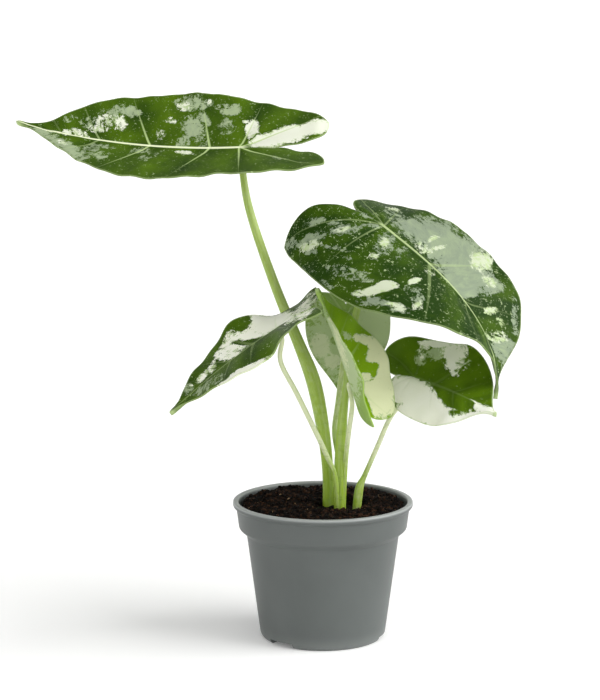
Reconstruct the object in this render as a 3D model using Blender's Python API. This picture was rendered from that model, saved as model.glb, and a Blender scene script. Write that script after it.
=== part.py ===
"""A young variegated arrowhead-leaved aroid in its round nursery pot.

Separate solids, one object each: the pot, the soil in it, the corm that
sits in the soil, and six leaves, each a waved blade on its own stalk.
Metres, +Z up. The origin is on the pot's axis, where the pot stands.
"""

import math

import bmesh
import bpy
import numpy as np
from mathutils import Vector

MM = 0.001
GAP = 0.3                   # clearance between neighbouring pieces, mm

# Pot, mm
POT_HEIGHT = 25.6
RIM_RADIUS = 16.6           # outside of the lip
BAND_TOP_RADIUS = 16.0
BAND_LOW_RADIUS = 15.5
BAND_LOW_HEIGHT = 20.6
BODY_TOP_RADIUS = 14.1
BODY_TOP_HEIGHT = 19.4
BASE_RADIUS = 11.6
BASE_ROUND = 0.8
LIP_HEIGHT = 0.9
WALL = 0.9
FLOOR = 1.6
POT_SIDES = 72
CHANNEL_WIDTH = 5.4         # drainage channels under the floor
CHANNEL_HEIGHT = 0.9
CHANNEL_ANGLES = (-43, 77, 197)   # degrees from the front, towards +X
HUB_DISC_RADIUS = 4.5       # the flat middle of the underside, left whole
DRAIN_HOLE_RADIUS = 1.3
DRAIN_HOLE_AT = 8.0

# Soil and corm, mm
SOIL_TOP = 24.2
SOIL_SIDES = 64
CORM_AT = (3.3, -0.7)
CORM_RADIUS = 4.8
CORM_HEIGHT = 7.5
CORM_TOP = 23.2

# Blades
BLADE_THICKNESS = 0.6
RINGS = (0.17, 0.36, 0.55, 0.72, 0.87, 1.0)
EDGE_POINTS = (10, 7, 5)    # tip to widest point, on to the lobe, on to the sinus
WAVES_ALONG = 1.5

# Stalks
STALK_SIDES = 10
STALK_RINGS = 15

# Each leaf: hub is where the stalk meets the blade (mm). Lengths in mm run
# from the hub: to the tip, to the two basal lobes, to the notch between them.
# Left and right are as seen from above with the tip pointing away. Angles in
# degrees: heading of the tip from +X, pitch up, roll left side up, droop of
# the tip, fall of the lobes, fold of each half at the midrib and what the
# fold gains by the tip, curl of each half, twist and sideways sweep.
LEAVES = {
    "high": dict(
        hub=(-15.3, 5.0, 90.1), length=44.5, notch=3.6, widest=4.9,
        width=(13.8, 13.8), lobe=(16.3, 16.0), lobe_out=(9.3, 7.8), full=(0.60, 0.70),
        heading=168, pitch=-3, roll=-21, droop=-12, bend=1.0, fall=7,
        fold=(6, 17), fold_gain=(3, 6), curl=(-2, 2), twist=-13, sweep=-15,
        wave=(0.3, 0.7), phase=(57, -10),
    ),
    "broad": dict(
        hub=(11.2, -2.0, 76.2), length=39.2, notch=3.4, widest=4.9,
        width=(16.6, 17.1), lobe=(14.0, 18.6), lobe_out=(8.4, 10.4), full=(0.75, 0.30),
        heading=-30, pitch=-30, roll=12, droop=70, bend=1.8, fall=28,
        fold=(-6, -14), fold_gain=(39, 34), curl=(-10, -44), twist=-11, sweep=-6,
        wave=(0.6, 0.0), phase=(31, 0),
    ),
    "folded": dict(
        hub=(-8.4, -9.2, 58.9), length=24.3, notch=2.7, widest=4.4,
        width=(9.1, 9.5), lobe=(8.3, 9.8), lobe_out=(8.7, 8.8), full=(0.60, 0.50),
        heading=190, pitch=-33, roll=3, droop=9, bend=1.4, fall=10,
        fold=(5, 13), fold_gain=(2, 3), curl=(-19, 3), twist=-19, sweep=10,
        wave=(0.7, 1.5), phase=(142, -15),
    ),
    "young": dict(
        hub=(5.2, -8.6, 48.9), length=18.4, notch=2.4, widest=2.6,
        width=(7.8, 8.9), lobe=(7.0, 8.2), lobe_out=(6.5, 5.1), full=(0.60, 0.60),
        heading=183, pitch=72, roll=-32, droop=6, bend=1.3, fall=8,
        fold=(45, 28), fold_gain=(-6, -28), curl=(3, -1), twist=2, sweep=1,
        wave=(0.5, 0.5), phase=(-8, 14),
    ),
    "back": dict(
        hub=(4.2, 5.8, 59.2), length=16.6, notch=2.2, widest=1.5,
        width=(7.4, 8.4), lobe=(4.6, 4.2), lobe_out=(5.6, 6.6), full=(0.55, 0.55),
        heading=96, pitch=-80, roll=0, droop=6, bend=1.3, fall=0,
        fold=(8, -6), fold_gain=(0, 0), curl=(-8, -6), twist=0, sweep=4,
        wave=(0.4, 0.4), phase=(0, 90),
    ),
    "low": dict(
        hub=(16.5, -1.2, 48.6), length=19.2, notch=3.0, widest=6.0,
        width=(9.6, 7.6), lobe=(8.3, 4.6), lobe_out=(5.4, 3.5), full=(0.60, 0.60),
        heading=-37, pitch=-9, roll=23, droop=8, bend=1.6, fall=35,
        fold=(20, -30), fold_gain=(-6, 3), curl=(14, -20), twist=-6, sweep=-10,
        wave=(0.7, 0.0), phase=(-100, -23),
    ),
}

# Each stalk: points from the foot to a little under the blade, with the
# radius there, all in mm. It ends square to the blade, below the hub.
STALKS = {
    "high": dict(
        foot=(1.0, 1.2), end_radius=0.60, rise=6.0,
        route=((0.9, 1.3, 30.9, 1.02), (0.1, 1.5, 38.1, 1.18), (-1.7, 2.0, 47.3, 1.36),
               (-4.0, 2.7, 54.5, 1.08), (-8.5, 3.8, 65.5, 0.88), (-13.3, 4.8, 78.8, 0.74)),
    ),
    "broad": dict(
        foot=(3.1, -1.3), end_radius=0.58, rise=5.0,
        route=((3.2, -1.1, 33.3, 1.10), (3.6, -0.7, 41.1, 0.86), (4.2, -0.3, 46.6, 0.70),
               (5.3, 0.3, 56.9, 0.66), (7.4, 0.2, 65.6, 0.64)),
    ),
    "folded": dict(
        foot=(2.8, -3.4), end_radius=0.40, rise=3.0,
        route=((2.5, -3.5, 33.1, 0.45), (1.0, -4.0, 38.4, 0.46), (-1.7, -5.2, 43.5, 0.46),
               (-5.1, -7.0, 49.3, 0.45), (-7.0, -8.2, 53.5, 0.43)),
    ),
    "young": dict(
        foot=(4.7, -3.3), end_radius=0.38, rise=2.0,
        route=((4.5, -3.3, 33.8, 0.45), (4.7, -4.2, 39.6, 0.44), (5.2, -5.8, 44.7, 0.42)),
    ),
    "back": dict(
        foot=(3.2, 1.9), end_radius=0.45, rise=3.0,
        route=((2.9, 2.5, 32.6, 0.50), (2.2, 3.3, 37.8, 0.55), (2.9, 4.2, 43.3, 0.56),
               (3.8, 5.2, 51.2, 0.50)),
    ),
    "low": dict(
        foot=(6.2, -0.5), end_radius=0.38, rise=4.0,
        route=((6.7, -0.6, 28.0, 0.80), (7.6, -0.7, 30.2, 0.47), (10.0, -1.4, 36.0, 0.44),
               (12.6, -1.6, 41.9, 0.43)),
    ),
}

COLOURS = {
    "green_leaf": ((0.030, 0.085, 0.018), 0.38),
    "stalk": ((0.300, 0.430, 0.070), 0.42),
    "corm": ((0.110, 0.060, 0.030), 0.80),
    "soil": ((0.014, 0.010, 0.008), 0.95),
    "grey_plastic": ((0.130, 0.142, 0.133), 0.45),
}


def clear_scene():
    for thing in list(bpy.data.objects):
        bpy.data.objects.remove(thing, do_unlink=True)


def make_material(name):
    colour, roughness = COLOURS[name]
    material = bpy.data.materials.new(name)
    material.use_nodes = True
    shader = material.node_tree.nodes["Principled BSDF"]
    shader.inputs["Base Color"].default_value = (*colour, 1.0)
    shader.inputs["Roughness"].default_value = roughness
    return material


def new_object(name, points, faces, material):
    """An object from points in mm and faces as rows of point numbers."""
    mesh = bpy.data.meshes.new(name)
    mesh.from_pydata([tuple(p) for p in np.asarray(points) * MM], [], faces)
    mesh.materials.append(material)
    thing = bpy.data.objects.new(name, mesh)
    bpy.context.scene.collection.objects.link(thing)
    return thing


def turned(name, profile, sides, material):
    """A solid of revolution from an outline of (radius, height) in mm.

    The outline starts and ends on the axis and runs up the outside.
    """
    points, faces = [], []
    rings = []
    for radius, height in profile:
        if radius == 0:
            rings.append([len(points)])
            points.append((0, 0, height))
            continue
        ring = range(len(points), len(points) + sides)
        rings.append(list(ring))
        for k in range(sides):
            angle = 2 * math.pi * k / sides
            points.append((radius * math.cos(angle), radius * math.sin(angle), height))
    for low, high in zip(rings, rings[1:]):
        for k in range(sides):
            after = (k + 1) % sides
            if len(low) == 1:
                faces.append((low[0], high[after], high[k]))
            elif len(high) == 1:
                faces.append((low[k], low[after], high[0]))
            else:
                faces.append((low[k], low[after], high[after], high[k]))
    return new_object(name, points, faces, material)


def smooth_shade(thing, degrees=35):
    thing.data.shade_smooth()
    thing.data.set_sharp_from_angle(angle=math.radians(degrees))


def as_cutter(thing, target):
    """Cuts thing from target with a Boolean that stays on it."""
    thing.hide_render = True
    thing.display_type = "WIRE"
    cut = target.modifiers.new("cut " + thing.name, "BOOLEAN")
    cut.operation = "DIFFERENCE"
    cut.solver = "EXACT"
    cut.object = thing


def cylinder(name, radius, low, high, at, sides, material):
    outline = [(0, low), (radius, low), (radius, high), (0, high)]
    thing = turned(name, outline, sides, material)
    thing.location = (at[0] * MM, at[1] * MM, 0)
    return thing


def box(name, size, centre, turn, material):
    """A block of the given size in mm, turned about Z, its centre given."""
    half = np.array(size) / 2
    corners = [(x, y, z) for x in (-1, 1) for y in (-1, 1) for z in (-1, 1)]
    faces = [(0, 1, 3, 2), (4, 6, 7, 5), (0, 4, 5, 1), (2, 3, 7, 6), (0, 2, 6, 4), (1, 5, 7, 3)]
    thing = new_object(name, np.array(corners) * half, faces, material)
    thing.location = Vector(centre) * MM
    thing.rotation_euler = (0, 0, turn)
    return thing


def build_pot(material):
    """The pot: lip, plain band under it, tapered body and a floor."""
    inner_low = BASE_RADIUS - WALL
    inner_band = BAND_LOW_RADIUS - WALL
    step = BAND_LOW_HEIGHT + 0.3
    profile = [
        (0, 0), (BASE_RADIUS - BASE_ROUND, 0), (BASE_RADIUS - 0.2, 0.3),
        (BASE_RADIUS, BASE_ROUND), (BODY_TOP_RADIUS, BODY_TOP_HEIGHT),
        (BAND_LOW_RADIUS, BAND_LOW_HEIGHT), (BAND_TOP_RADIUS, POT_HEIGHT - LIP_HEIGHT - 0.3),
        (RIM_RADIUS, POT_HEIGHT - LIP_HEIGHT), (RIM_RADIUS, POT_HEIGHT - 0.25),
        (RIM_RADIUS - 0.25, POT_HEIGHT), (RIM_RADIUS - 0.75, POT_HEIGHT),
        (RIM_RADIUS - 1.0, POT_HEIGHT - 0.3), (inner_band, step),
        (BODY_TOP_RADIUS - WALL, BODY_TOP_HEIGHT - 0.3), (inner_low, FLOOR), (0, FLOOR),
    ]
    pot = turned("pot", profile, POT_SIDES, material)
    reach = BASE_RADIUS + 2
    for number, degrees in enumerate(CHANNEL_ANGLES):
        angle = math.radians(degrees - 90)
        middle = (HUB_DISC_RADIUS + reach) / 2
        centre = (middle * math.cos(angle), middle * math.sin(angle), CHANNEL_HEIGHT / 2 - 1)
        size = (reach - HUB_DISC_RADIUS, CHANNEL_WIDTH, CHANNEL_HEIGHT + 2)
        as_cutter(box(f"channel_{number}", size, centre, angle, material), pot)
        at = (DRAIN_HOLE_AT * math.cos(angle), DRAIN_HOLE_AT * math.sin(angle))
        hole = cylinder(f"drain_{number}", DRAIN_HOLE_RADIUS, -1, FLOOR + 1, at, 16, material)
        as_cutter(hole, pot)
    smooth_shade(pot)
    return pot


def build_soil(material):
    """Soil that fills the pot to just under its rim, with a plain hole for the corm."""
    low = FLOOR + GAP
    slope = (BODY_TOP_RADIUS - BASE_RADIUS) / (BODY_TOP_HEIGHT - 0.3 - FLOOR)
    clear = WALL + GAP
    radius_low = BASE_RADIUS - clear + slope * GAP
    step = BAND_LOW_HEIGHT + 0.3
    band_slope = (RIM_RADIUS - 1.0 + WALL - BAND_LOW_RADIUS) / (POT_HEIGHT - 0.3 - step)
    radius_top = BAND_LOW_RADIUS - clear + band_slope * (SOIL_TOP - 0.5 - step) - 0.05
    profile = [
        (0, low), (radius_low, low), (BODY_TOP_RADIUS - clear - 0.05, BODY_TOP_HEIGHT - 0.2),
        (BAND_LOW_RADIUS - clear - 0.05, step + 0.2), (radius_top, SOIL_TOP - 0.5),
        (radius_top - 0.5, SOIL_TOP - 0.1), (radius_top * 0.6, SOIL_TOP), (0, SOIL_TOP),
    ]
    soil = turned("soil", profile, SOIL_SIDES, material)
    floor_of_hole = CORM_TOP - CORM_HEIGHT - GAP
    top = SOIL_TOP + 2
    as_cutter(cylinder("corm_hole", CORM_RADIUS + GAP, floor_of_hole, top, CORM_AT, 32, material), soil)
    smooth_shade(soil)
    return soil


def build_corm(material):
    """The corm, a rounded tuber whose flat crown carries the stalks."""
    base = CORM_TOP - CORM_HEIGHT
    shape = ((0, 0), (0.45, 0.03), (0.80, 0.22), (1.0, 0.52), (0.97, 0.82), (0.86, 1.0), (0, 1.0))
    profile = [(r * CORM_RADIUS, base + h * CORM_HEIGHT) for r, h in shape]
    corm = turned("corm", profile, 32, material)
    corm.location = (CORM_AT[0] * MM, CORM_AT[1] * MM, 0)
    smooth_shade(corm)
    return corm


def bezier(points, count, with_end=False):
    """Points along a cubic curve, given its four control points."""
    t = np.linspace(0, 1, count + 1)[:, None]
    if not with_end:
        t = t[:-1]
    a, b, c, d = (np.asarray(p, float) for p in points)
    return (1 - t) ** 3 * a + 3 * (1 - t) ** 2 * t * b + 3 * (1 - t) * t ** 2 * c + t ** 3 * d


def half_outline(leaf, side):
    """One half of the flat arrowhead: tip, widest point, lobe, notch."""
    length, notch, widest = leaf["length"], leaf["notch"], leaf["widest"]
    width, lobe = leaf["width"][side], leaf["lobe"][side]
    out, full = leaf["lobe_out"][side], leaf["full"][side]
    tip = np.array((length, 0.0))
    wide = np.array((widest, width))
    end = np.array((-lobe, out))
    inner = np.array((-notch, 0.0))
    run = length - widest
    back = (widest + lobe) * 0.55
    first = (tip, tip + (-run * 0.30, width * 0.10), wide + (run * full, 0), wide)
    second = (wide, wide - (back, 0), end + (0, (width - out) * 0.55), end)
    third = (end, end - (0, out * 0.75), inner + (-(lobe - notch) * 0.45, out * 0.10), inner)
    counts = EDGE_POINTS
    parts = [bezier(first, counts[0]), bezier(second, counts[1]), bezier(third, counts[2], True)]
    return np.vstack(parts)


def outline(leaf):
    """The whole flat outline, from the tip round by the left to the notch."""
    left, right = half_outline(leaf, 0), half_outline(leaf, 1)
    right[:, 1] *= -1
    return np.vstack([left, right[::-1][1:-1]])


def ease(x):
    x = np.clip(x, 0, 1)
    return x * x * (3 - 2 * x)


def midrib(leaf, u):
    """Height, run and slope of the bent midrib at distance u from the hub."""
    length = leaf["length"]
    back = max(leaf["lobe"])
    steps = np.linspace(-back, length, 161)
    droop = -math.radians(leaf["droop"]) * (np.abs(steps) / length) ** leaf["bend"]
    fall = math.radians(leaf["fall"]) * np.abs(steps) / back
    slope = np.where(steps > 0, droop, fall)
    pace = np.diff(steps)
    run = np.concatenate([[0], np.cumsum((np.cos(slope[1:]) + np.cos(slope[:-1])) / 2 * pace)])
    rise = np.concatenate([[0], np.cumsum((np.sin(slope[1:]) + np.sin(slope[:-1])) / 2 * pace)])
    run -= np.interp(0, steps, run)
    rise -= np.interp(0, steps, rise)
    return np.interp(u, steps, run), np.interp(u, steps, rise), np.interp(u, steps, slope)


def cross_section(leaf, side, across, along):
    """How far out and up a half of the blade is, at a distance across it."""
    width = leaf["width"][side]
    share = (np.arange(12) + 0.5) / 12
    walk = across[..., None] * share
    fold = np.radians(leaf["fold"][side] + leaf["fold_gain"][side] * along)[..., None]
    tilt = fold * ease(walk / (0.18 * width)) + math.radians(leaf["curl"][side]) * walk / width
    out = np.cos(tilt).mean(-1) * across
    up = np.sin(tilt).mean(-1) * across
    return out, up


def attitude(leaf):
    """The turn from the blade's own axes (tip, left, up) to the world's."""
    roll, pitch, heading = (math.radians(leaf[k]) for k in ("roll", "pitch", "heading"))
    cr, sr, cp, sp = math.cos(roll), math.sin(roll), math.cos(pitch), math.sin(pitch)
    ch, sh = math.cos(heading), math.sin(heading)
    about_x = np.array(((1, 0, 0), (0, cr, -sr), (0, sr, cr)))
    about_y = np.array(((cp, 0, -sp), (0, 1, 0), (sp, 0, cp)))
    about_z = np.array(((ch, -sh, 0), (sh, ch, 0), (0, 0, 1)))
    return about_z @ about_y @ about_x


def blade_surface(leaf, flat):
    """Middle surface of the blade in mm, for points (u, v) of the flat leaf."""
    u, v = flat[..., 0], flat[..., 1]
    length = leaf["length"]
    run, rise, slope = midrib(leaf, u)
    across = np.abs(v)
    along = np.clip(u / length, -0.5, 1)
    left = v >= 0
    out_left, up_left = cross_section(leaf, 0, across, along)
    out_right, up_right = cross_section(leaf, 1, across, along)
    side = np.where(left, out_left, -out_right)
    up = np.where(left, up_left, up_right)
    width = np.where(left, *leaf["width"])
    wave = np.where(left, *leaf["wave"])
    phase = np.radians(np.where(left, *leaf["phase"]))
    edge = np.clip(across / width, 0, 1.2) ** 2
    up = up + wave * edge * np.sin(2 * math.pi * WAVES_ALONG * u / length + phase)
    twist = math.radians(leaf["twist"]) * u / length
    sideways = side * np.cos(twist) - up * np.sin(twist)
    upright = side * np.sin(twist) + up * np.cos(twist)
    x = run - upright * np.sin(slope)
    z = rise + upright * np.cos(slope)
    turn = math.radians(leaf["sweep"]) / length
    bent = turn * x
    reach = np.where(np.abs(bent) > 1e-6, np.sin(bent) / turn, x)
    x = reach - sideways * np.sin(bent)
    y = (1 - np.cos(bent)) / turn + sideways * np.cos(bent)
    return np.stack([x, y, z], -1) @ attitude(leaf).T + np.array(leaf["hub"])


def blade_triangles(count):
    """Triangles of rings of count points round point 0, split the same way."""
    faces = []
    for k in range(count):
        faces.append((0, 1 + k, 1 + (k + 1) % count))
    for ring in range(len(RINGS) - 1):
        first = 1 + ring * count
        second = first + count
        for k in range(count):
            after = (k + 1) % count
            faces.append((first + k, second + k, second + after))
            faces.append((first + k, second + after, first + after))
    return faces


def point_normals(points, faces):
    corners = points[np.array(faces)]
    cross = np.cross(corners[:, 1] - corners[:, 0], corners[:, 2] - corners[:, 0])
    normals = np.zeros_like(points)
    for k in range(3):
        np.add.at(normals, np.array(faces)[:, k], cross)
    return normals / np.linalg.norm(normals, axis=1)[:, None]


def build_blade(name, leaf, material):
    """A waved blade: the same triangles on its upper and lower faces."""
    edge = outline(leaf)
    count = len(edge)
    flat = np.vstack([np.zeros((1, 2))] + [edge * share for share in RINGS])
    middle = blade_surface(leaf, flat)
    faces = blade_triangles(count)
    normals = point_normals(middle, faces)
    half = BLADE_THICKNESS / 2
    points = np.vstack([middle + normals * half, middle - normals * half])
    total = len(middle)
    lower = [(a + total, c + total, b + total) for a, b, c in faces]
    first = 1 + (len(RINGS) - 1) * count
    rim = []
    for k in range(count):
        here, after = first + k, first + (k + 1) % count
        rim.append((here, here + total, after + total))
        rim.append((here, after + total, after))
    blade = new_object(name, points, faces + lower + rim, material)
    smooth_shade(blade, 60)
    return blade


def spline(points, count):
    """Even steps along a Catmull-Rom curve through rows of numbers."""
    points = np.asarray(points, float)
    ends = np.vstack([2 * points[0] - points[1], points, 2 * points[-1] - points[-2]])
    fine = []
    for a, b, c, d in zip(ends, ends[1:], ends[2:], ends[3:]):
        t = np.linspace(0, 1, 24, endpoint=False)[:, None]
        fine.append(0.5 * (2 * b + (c - a) * t + (2 * a - 5 * b + 4 * c - d) * t ** 2
                           + (3 * b - a - 3 * c + d) * t ** 3))
    fine = np.vstack(fine + [points[-1:]])
    reach = np.concatenate([[0], np.cumsum(np.linalg.norm(np.diff(fine[:, :3], axis=0), axis=1))])
    even = np.linspace(0, reach[-1], count)
    return np.stack([np.interp(even, reach, column) for column in fine.T], -1)


def build_stalk(name, stalk, leaf, material):
    """A tapered stalk from its foot up to just under the blade's hub."""
    up = attitude(leaf) @ np.array((0.0, 0.0, 1.0))
    top = np.array(leaf["hub"]) - up * (BLADE_THICKNESS / 2 + GAP + 0.1)
    low = top - up * stalk["rise"] * 0.45
    end = stalk["end_radius"]
    x, y = stalk["foot"]
    route = [(x, y, CORM_TOP + GAP, stalk["route"][0][3])]
    route += list(stalk["route"]) + [(*low, end), (*top, end)]
    line = spline(route, STALK_RINGS)
    ahead = np.gradient(line[:, :3], axis=0)
    ahead[0] = (0, 0, 1)
    ahead[-1] = up
    ahead /= np.linalg.norm(ahead, axis=1)[:, None]
    across = np.array((1.0, 0.0, 0.0))
    points = []
    for place, forward in zip(line, ahead):
        across = across - forward * across.dot(forward)
        across /= np.linalg.norm(across)
        over = np.cross(forward, across)
        for k in range(STALK_SIDES):
            angle = 2 * math.pi * k / STALK_SIDES
            points.append(place[:3] + place[3] * (across * math.cos(angle) + over * math.sin(angle)))
    faces = [tuple(range(STALK_SIDES))[::-1]]
    for ring in range(STALK_RINGS - 1):
        first = ring * STALK_SIDES
        for k in range(STALK_SIDES):
            after = (k + 1) % STALK_SIDES
            faces.append((first + k, first + after, first + after + STALK_SIDES, first + k + STALK_SIDES))
    last = (STALK_RINGS - 1) * STALK_SIDES
    faces.append(tuple(range(last, last + STALK_SIDES)))
    thing = new_object(name, points, faces, material)
    smooth_shade(thing, 50)
    return thing


def main():
    clear_scene()
    materials = {name: make_material(name) for name in COLOURS}
    build_pot(materials["grey_plastic"])
    build_soil(materials["soil"])
    build_corm(materials["corm"])
    for name, leaf in LEAVES.items():
        build_blade(name + "_blade", leaf, materials["green_leaf"])
        build_stalk(name + "_stalk", STALKS[name], leaf, materials["stalk"])


main()
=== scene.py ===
"""Fine surfaces and finishes for a young variegated aroid in its pot.

Blades, stalks, pot and soil are worked out with numpy from driving sizes
like those of the solids that they replace. Lengths are in millimetres in
the tables and become metres when a mesh is made.
"""

import functools
import math

import bpy
import numpy as np
from bpy.props import FloatProperty, FloatVectorProperty, IntProperty, PointerProperty
from mathutils import Matrix, Vector


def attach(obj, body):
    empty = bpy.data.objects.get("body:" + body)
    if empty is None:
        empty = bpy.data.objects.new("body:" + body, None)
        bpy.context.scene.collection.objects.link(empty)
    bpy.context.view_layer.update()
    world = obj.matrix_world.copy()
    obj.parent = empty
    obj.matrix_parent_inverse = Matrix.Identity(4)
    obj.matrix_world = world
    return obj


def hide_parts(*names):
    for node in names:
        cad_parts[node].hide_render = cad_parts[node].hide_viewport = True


bl_info = {
    "name": "Potted variegated aroid",
    "version": (1, 0, 0),
    "blender": (4, 5, 0),
    "location": "3D View > Sidebar > Aroid",
    "description": "Builds the leaves, stalks, pot and soil of a small potted aroid",
    "category": "Object",
}

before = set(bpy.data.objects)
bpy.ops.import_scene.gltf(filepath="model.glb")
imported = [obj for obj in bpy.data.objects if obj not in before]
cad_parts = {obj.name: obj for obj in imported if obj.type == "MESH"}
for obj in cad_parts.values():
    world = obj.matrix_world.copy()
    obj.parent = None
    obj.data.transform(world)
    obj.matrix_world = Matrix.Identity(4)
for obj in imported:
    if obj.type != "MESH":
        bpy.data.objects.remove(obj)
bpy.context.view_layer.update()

MM = 0.001
WAVES_ALONG = 1.5           # waves of the margin from hub to tip
EDGE_STEPS = (58, 44, 28)   # tip to widest point, on to the lobe, on to the notch
DRIP_HALF_WIDTH = 0.36      # the narrow tip is no thinner across than this
DRIP_LENGTH = 3.4           # and this much of it is thickened
VEIN_LEAN = 0.2             # mm that a side vein leans tipwards for each mm across
VEIN_SPREAD = 1.1           # and how much more it leans at the tip
VEIN_FAN = math.radians(44)  # between two veins behind the hub
STALK_GAP = 0.10            # between stalk and blade
SOLID_BLADE = 0.6           # thickness of the solid blades, which the stalks stop under
SOLID_GAP = 0.4
POT_CHANNELS = (-43, 77, 197)  # degrees round the foot from the front
SOIL_TOP = 25.3             # 1.1 higher than the solid's, with the crumbs on it
SOIL_EDGE = 14.8
CORM_AT = (3.3, -0.7)
CORM_TOP = 23.2
SHADES = ("tone", "flecks", "dull", "vein_show", "rib_show")
KINDS = ("cream", "mint", "green")

# One row for each leaf, left half first where a size has two.
# hub: where the stalk meets the blade. length, notch, widest, width, lobe,
# lobe_out, full, lobe_full, closed: the flat outline, see half_outline.
# heading, pitch, roll: the blade's attitude in degrees. droop, bend, fall:
# the midrib's curve. fold, fold_gain, curl, twist, sweep, wave, phase: see
# cross_section and blade_surface. veins: where side veins leave the midrib.
# tone: lightness of the green, partly the leaf's own and partly painted
# backlight, which lifts the thin high, young and back leaves. flecks: share
# of faint specks. dull: how far cream is greened. vein_show, rib_show: how
# plainly the veins show.
# The broad leaf's lobes and attitude are fitted closer than its solid's.
LEAVES = {
    "high": dict(
        hub=(-15.3, 5.0, 90.1), length=44.5, notch=3.6, widest=4.9,
        width=(13.8, 13.8), lobe=(16.3, 16.0), lobe_out=(9.3, 7.8), full=(0.60, 0.80),
        heading=168, pitch=-3, roll=-21, droop=-12, bend=1.0, fall=7,
        fold=(6, 17), fold_gain=(3, 6), curl=(-2, 2), twist=-13, sweep=-15,
        wave=(0.3, 0.7), phase=(57, -10),
        # tone is partly painted backlight through this thin leaf.
        veins=(5.5, 17, 27, 35), tone=0.16, flecks=0.16, dull=0.36, vein_show=0.66, rib_show=1,
    ),
    "broad": dict(
        hub=(10.81, -2, 76.4), length=39.5, notch=3.4, widest=6.1,
        width=(17.7, 18.9), lobe=(8.5, 16.6), lobe_out=(7.6, 12.1), full=(0.88, 0.47),
        lobe_full=(0.54, 0.3), closed=(0.96, 0.08),
        heading=-23, pitch=-35, roll=10, droop=68, bend=2, fall=32,
        fold=(-2, -5), fold_gain=(48, 39), curl=(-6, -57), twist=-17, sweep=7,
        wave=(0.6, 0), phase=(31, 0),
        veins=(11, 20, 28, 34), tone=0.04, flecks=0.22, dull=0.84, vein_show=0.24, rib_show=0.65,
    ),
    "folded": dict(
        hub=(-8.4, -9.2, 58.9), length=24.3, notch=2.7, widest=4.4,
        width=(9.1, 9.5), lobe=(8.3, 9.8), lobe_out=(8.7, 8.8), full=(0.60, 0.50),
        heading=190, pitch=-33, roll=3, droop=9, bend=1.4, fall=10,
        fold=(5, 13), fold_gain=(2, 3), curl=(-19, 3), twist=-19, sweep=10,
        wave=(0.7, 1.5), phase=(142, -15),
        veins=(5, 10, 15, 19), tone=0.16, flecks=0.12, dull=0, vein_show=0.18, rib_show=0.3,
    ),
    "young": dict(
        hub=(5.2, -8.6, 48.9), length=18.4, notch=2.4, widest=2.6,
        width=(7.8, 8.9), lobe=(7.0, 8.2), lobe_out=(6.5, 5.1), full=(0.60, 0.60),
        heading=183, pitch=72, roll=-32, droop=6, bend=1.3, fall=8,
        fold=(45, 28), fold_gain=(-6, -28), curl=(3, -1), twist=2, sweep=1,
        wave=(0.5, 0.5), phase=(-8, 14),
        # The high tone is partly the young leaf's own pale green and partly painted backlight.
        veins=(4, 8, 12, 15), tone=0.9, flecks=0.05, dull=0, vein_show=0.2, rib_show=0.5,
    ),
    "back": dict(
        hub=(4.2, 5.8, 59.2), length=16.6, notch=2.2, widest=1.5,
        width=(7.4, 8.4), lobe=(4.6, 4.2), lobe_out=(5.6, 6.6), full=(0.55, 0.55),
        heading=96, pitch=-80, roll=0, droop=6, bend=1.3, fall=0,
        fold=(8, -6), fold_gain=(0, 0), curl=(-8, -6), twist=0, sweep=4,
        wave=(0.4, 0.4), phase=(0, 90),
        # tone is partly painted backlight through this leaf.
        veins=(4, 8, 11, 14), tone=0.75, flecks=0.2, dull=0.25, vein_show=0.25, rib_show=0.5,
    ),
    "low": dict(
        hub=(16.5, -1.2, 48.6), length=19.2, notch=3.0, widest=6.0,
        width=(9.6, 7.6), lobe=(8.3, 4.6), lobe_out=(5.4, 3.5), full=(0.60, 0.60),
        heading=-37, pitch=-9, roll=23, droop=8, bend=1.6, fall=35,
        fold=(20, -30), fold_gain=(-6, 3), curl=(14, -20), twist=-6, sweep=-10,
        wave=(0.7, 0.0), phase=(-100, -23),
        veins=(4.5, 9, 13, 16), tone=0.34, flecks=0.05, dull=0, vein_show=0.05, rib_show=0.12,
    ),
}

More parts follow.
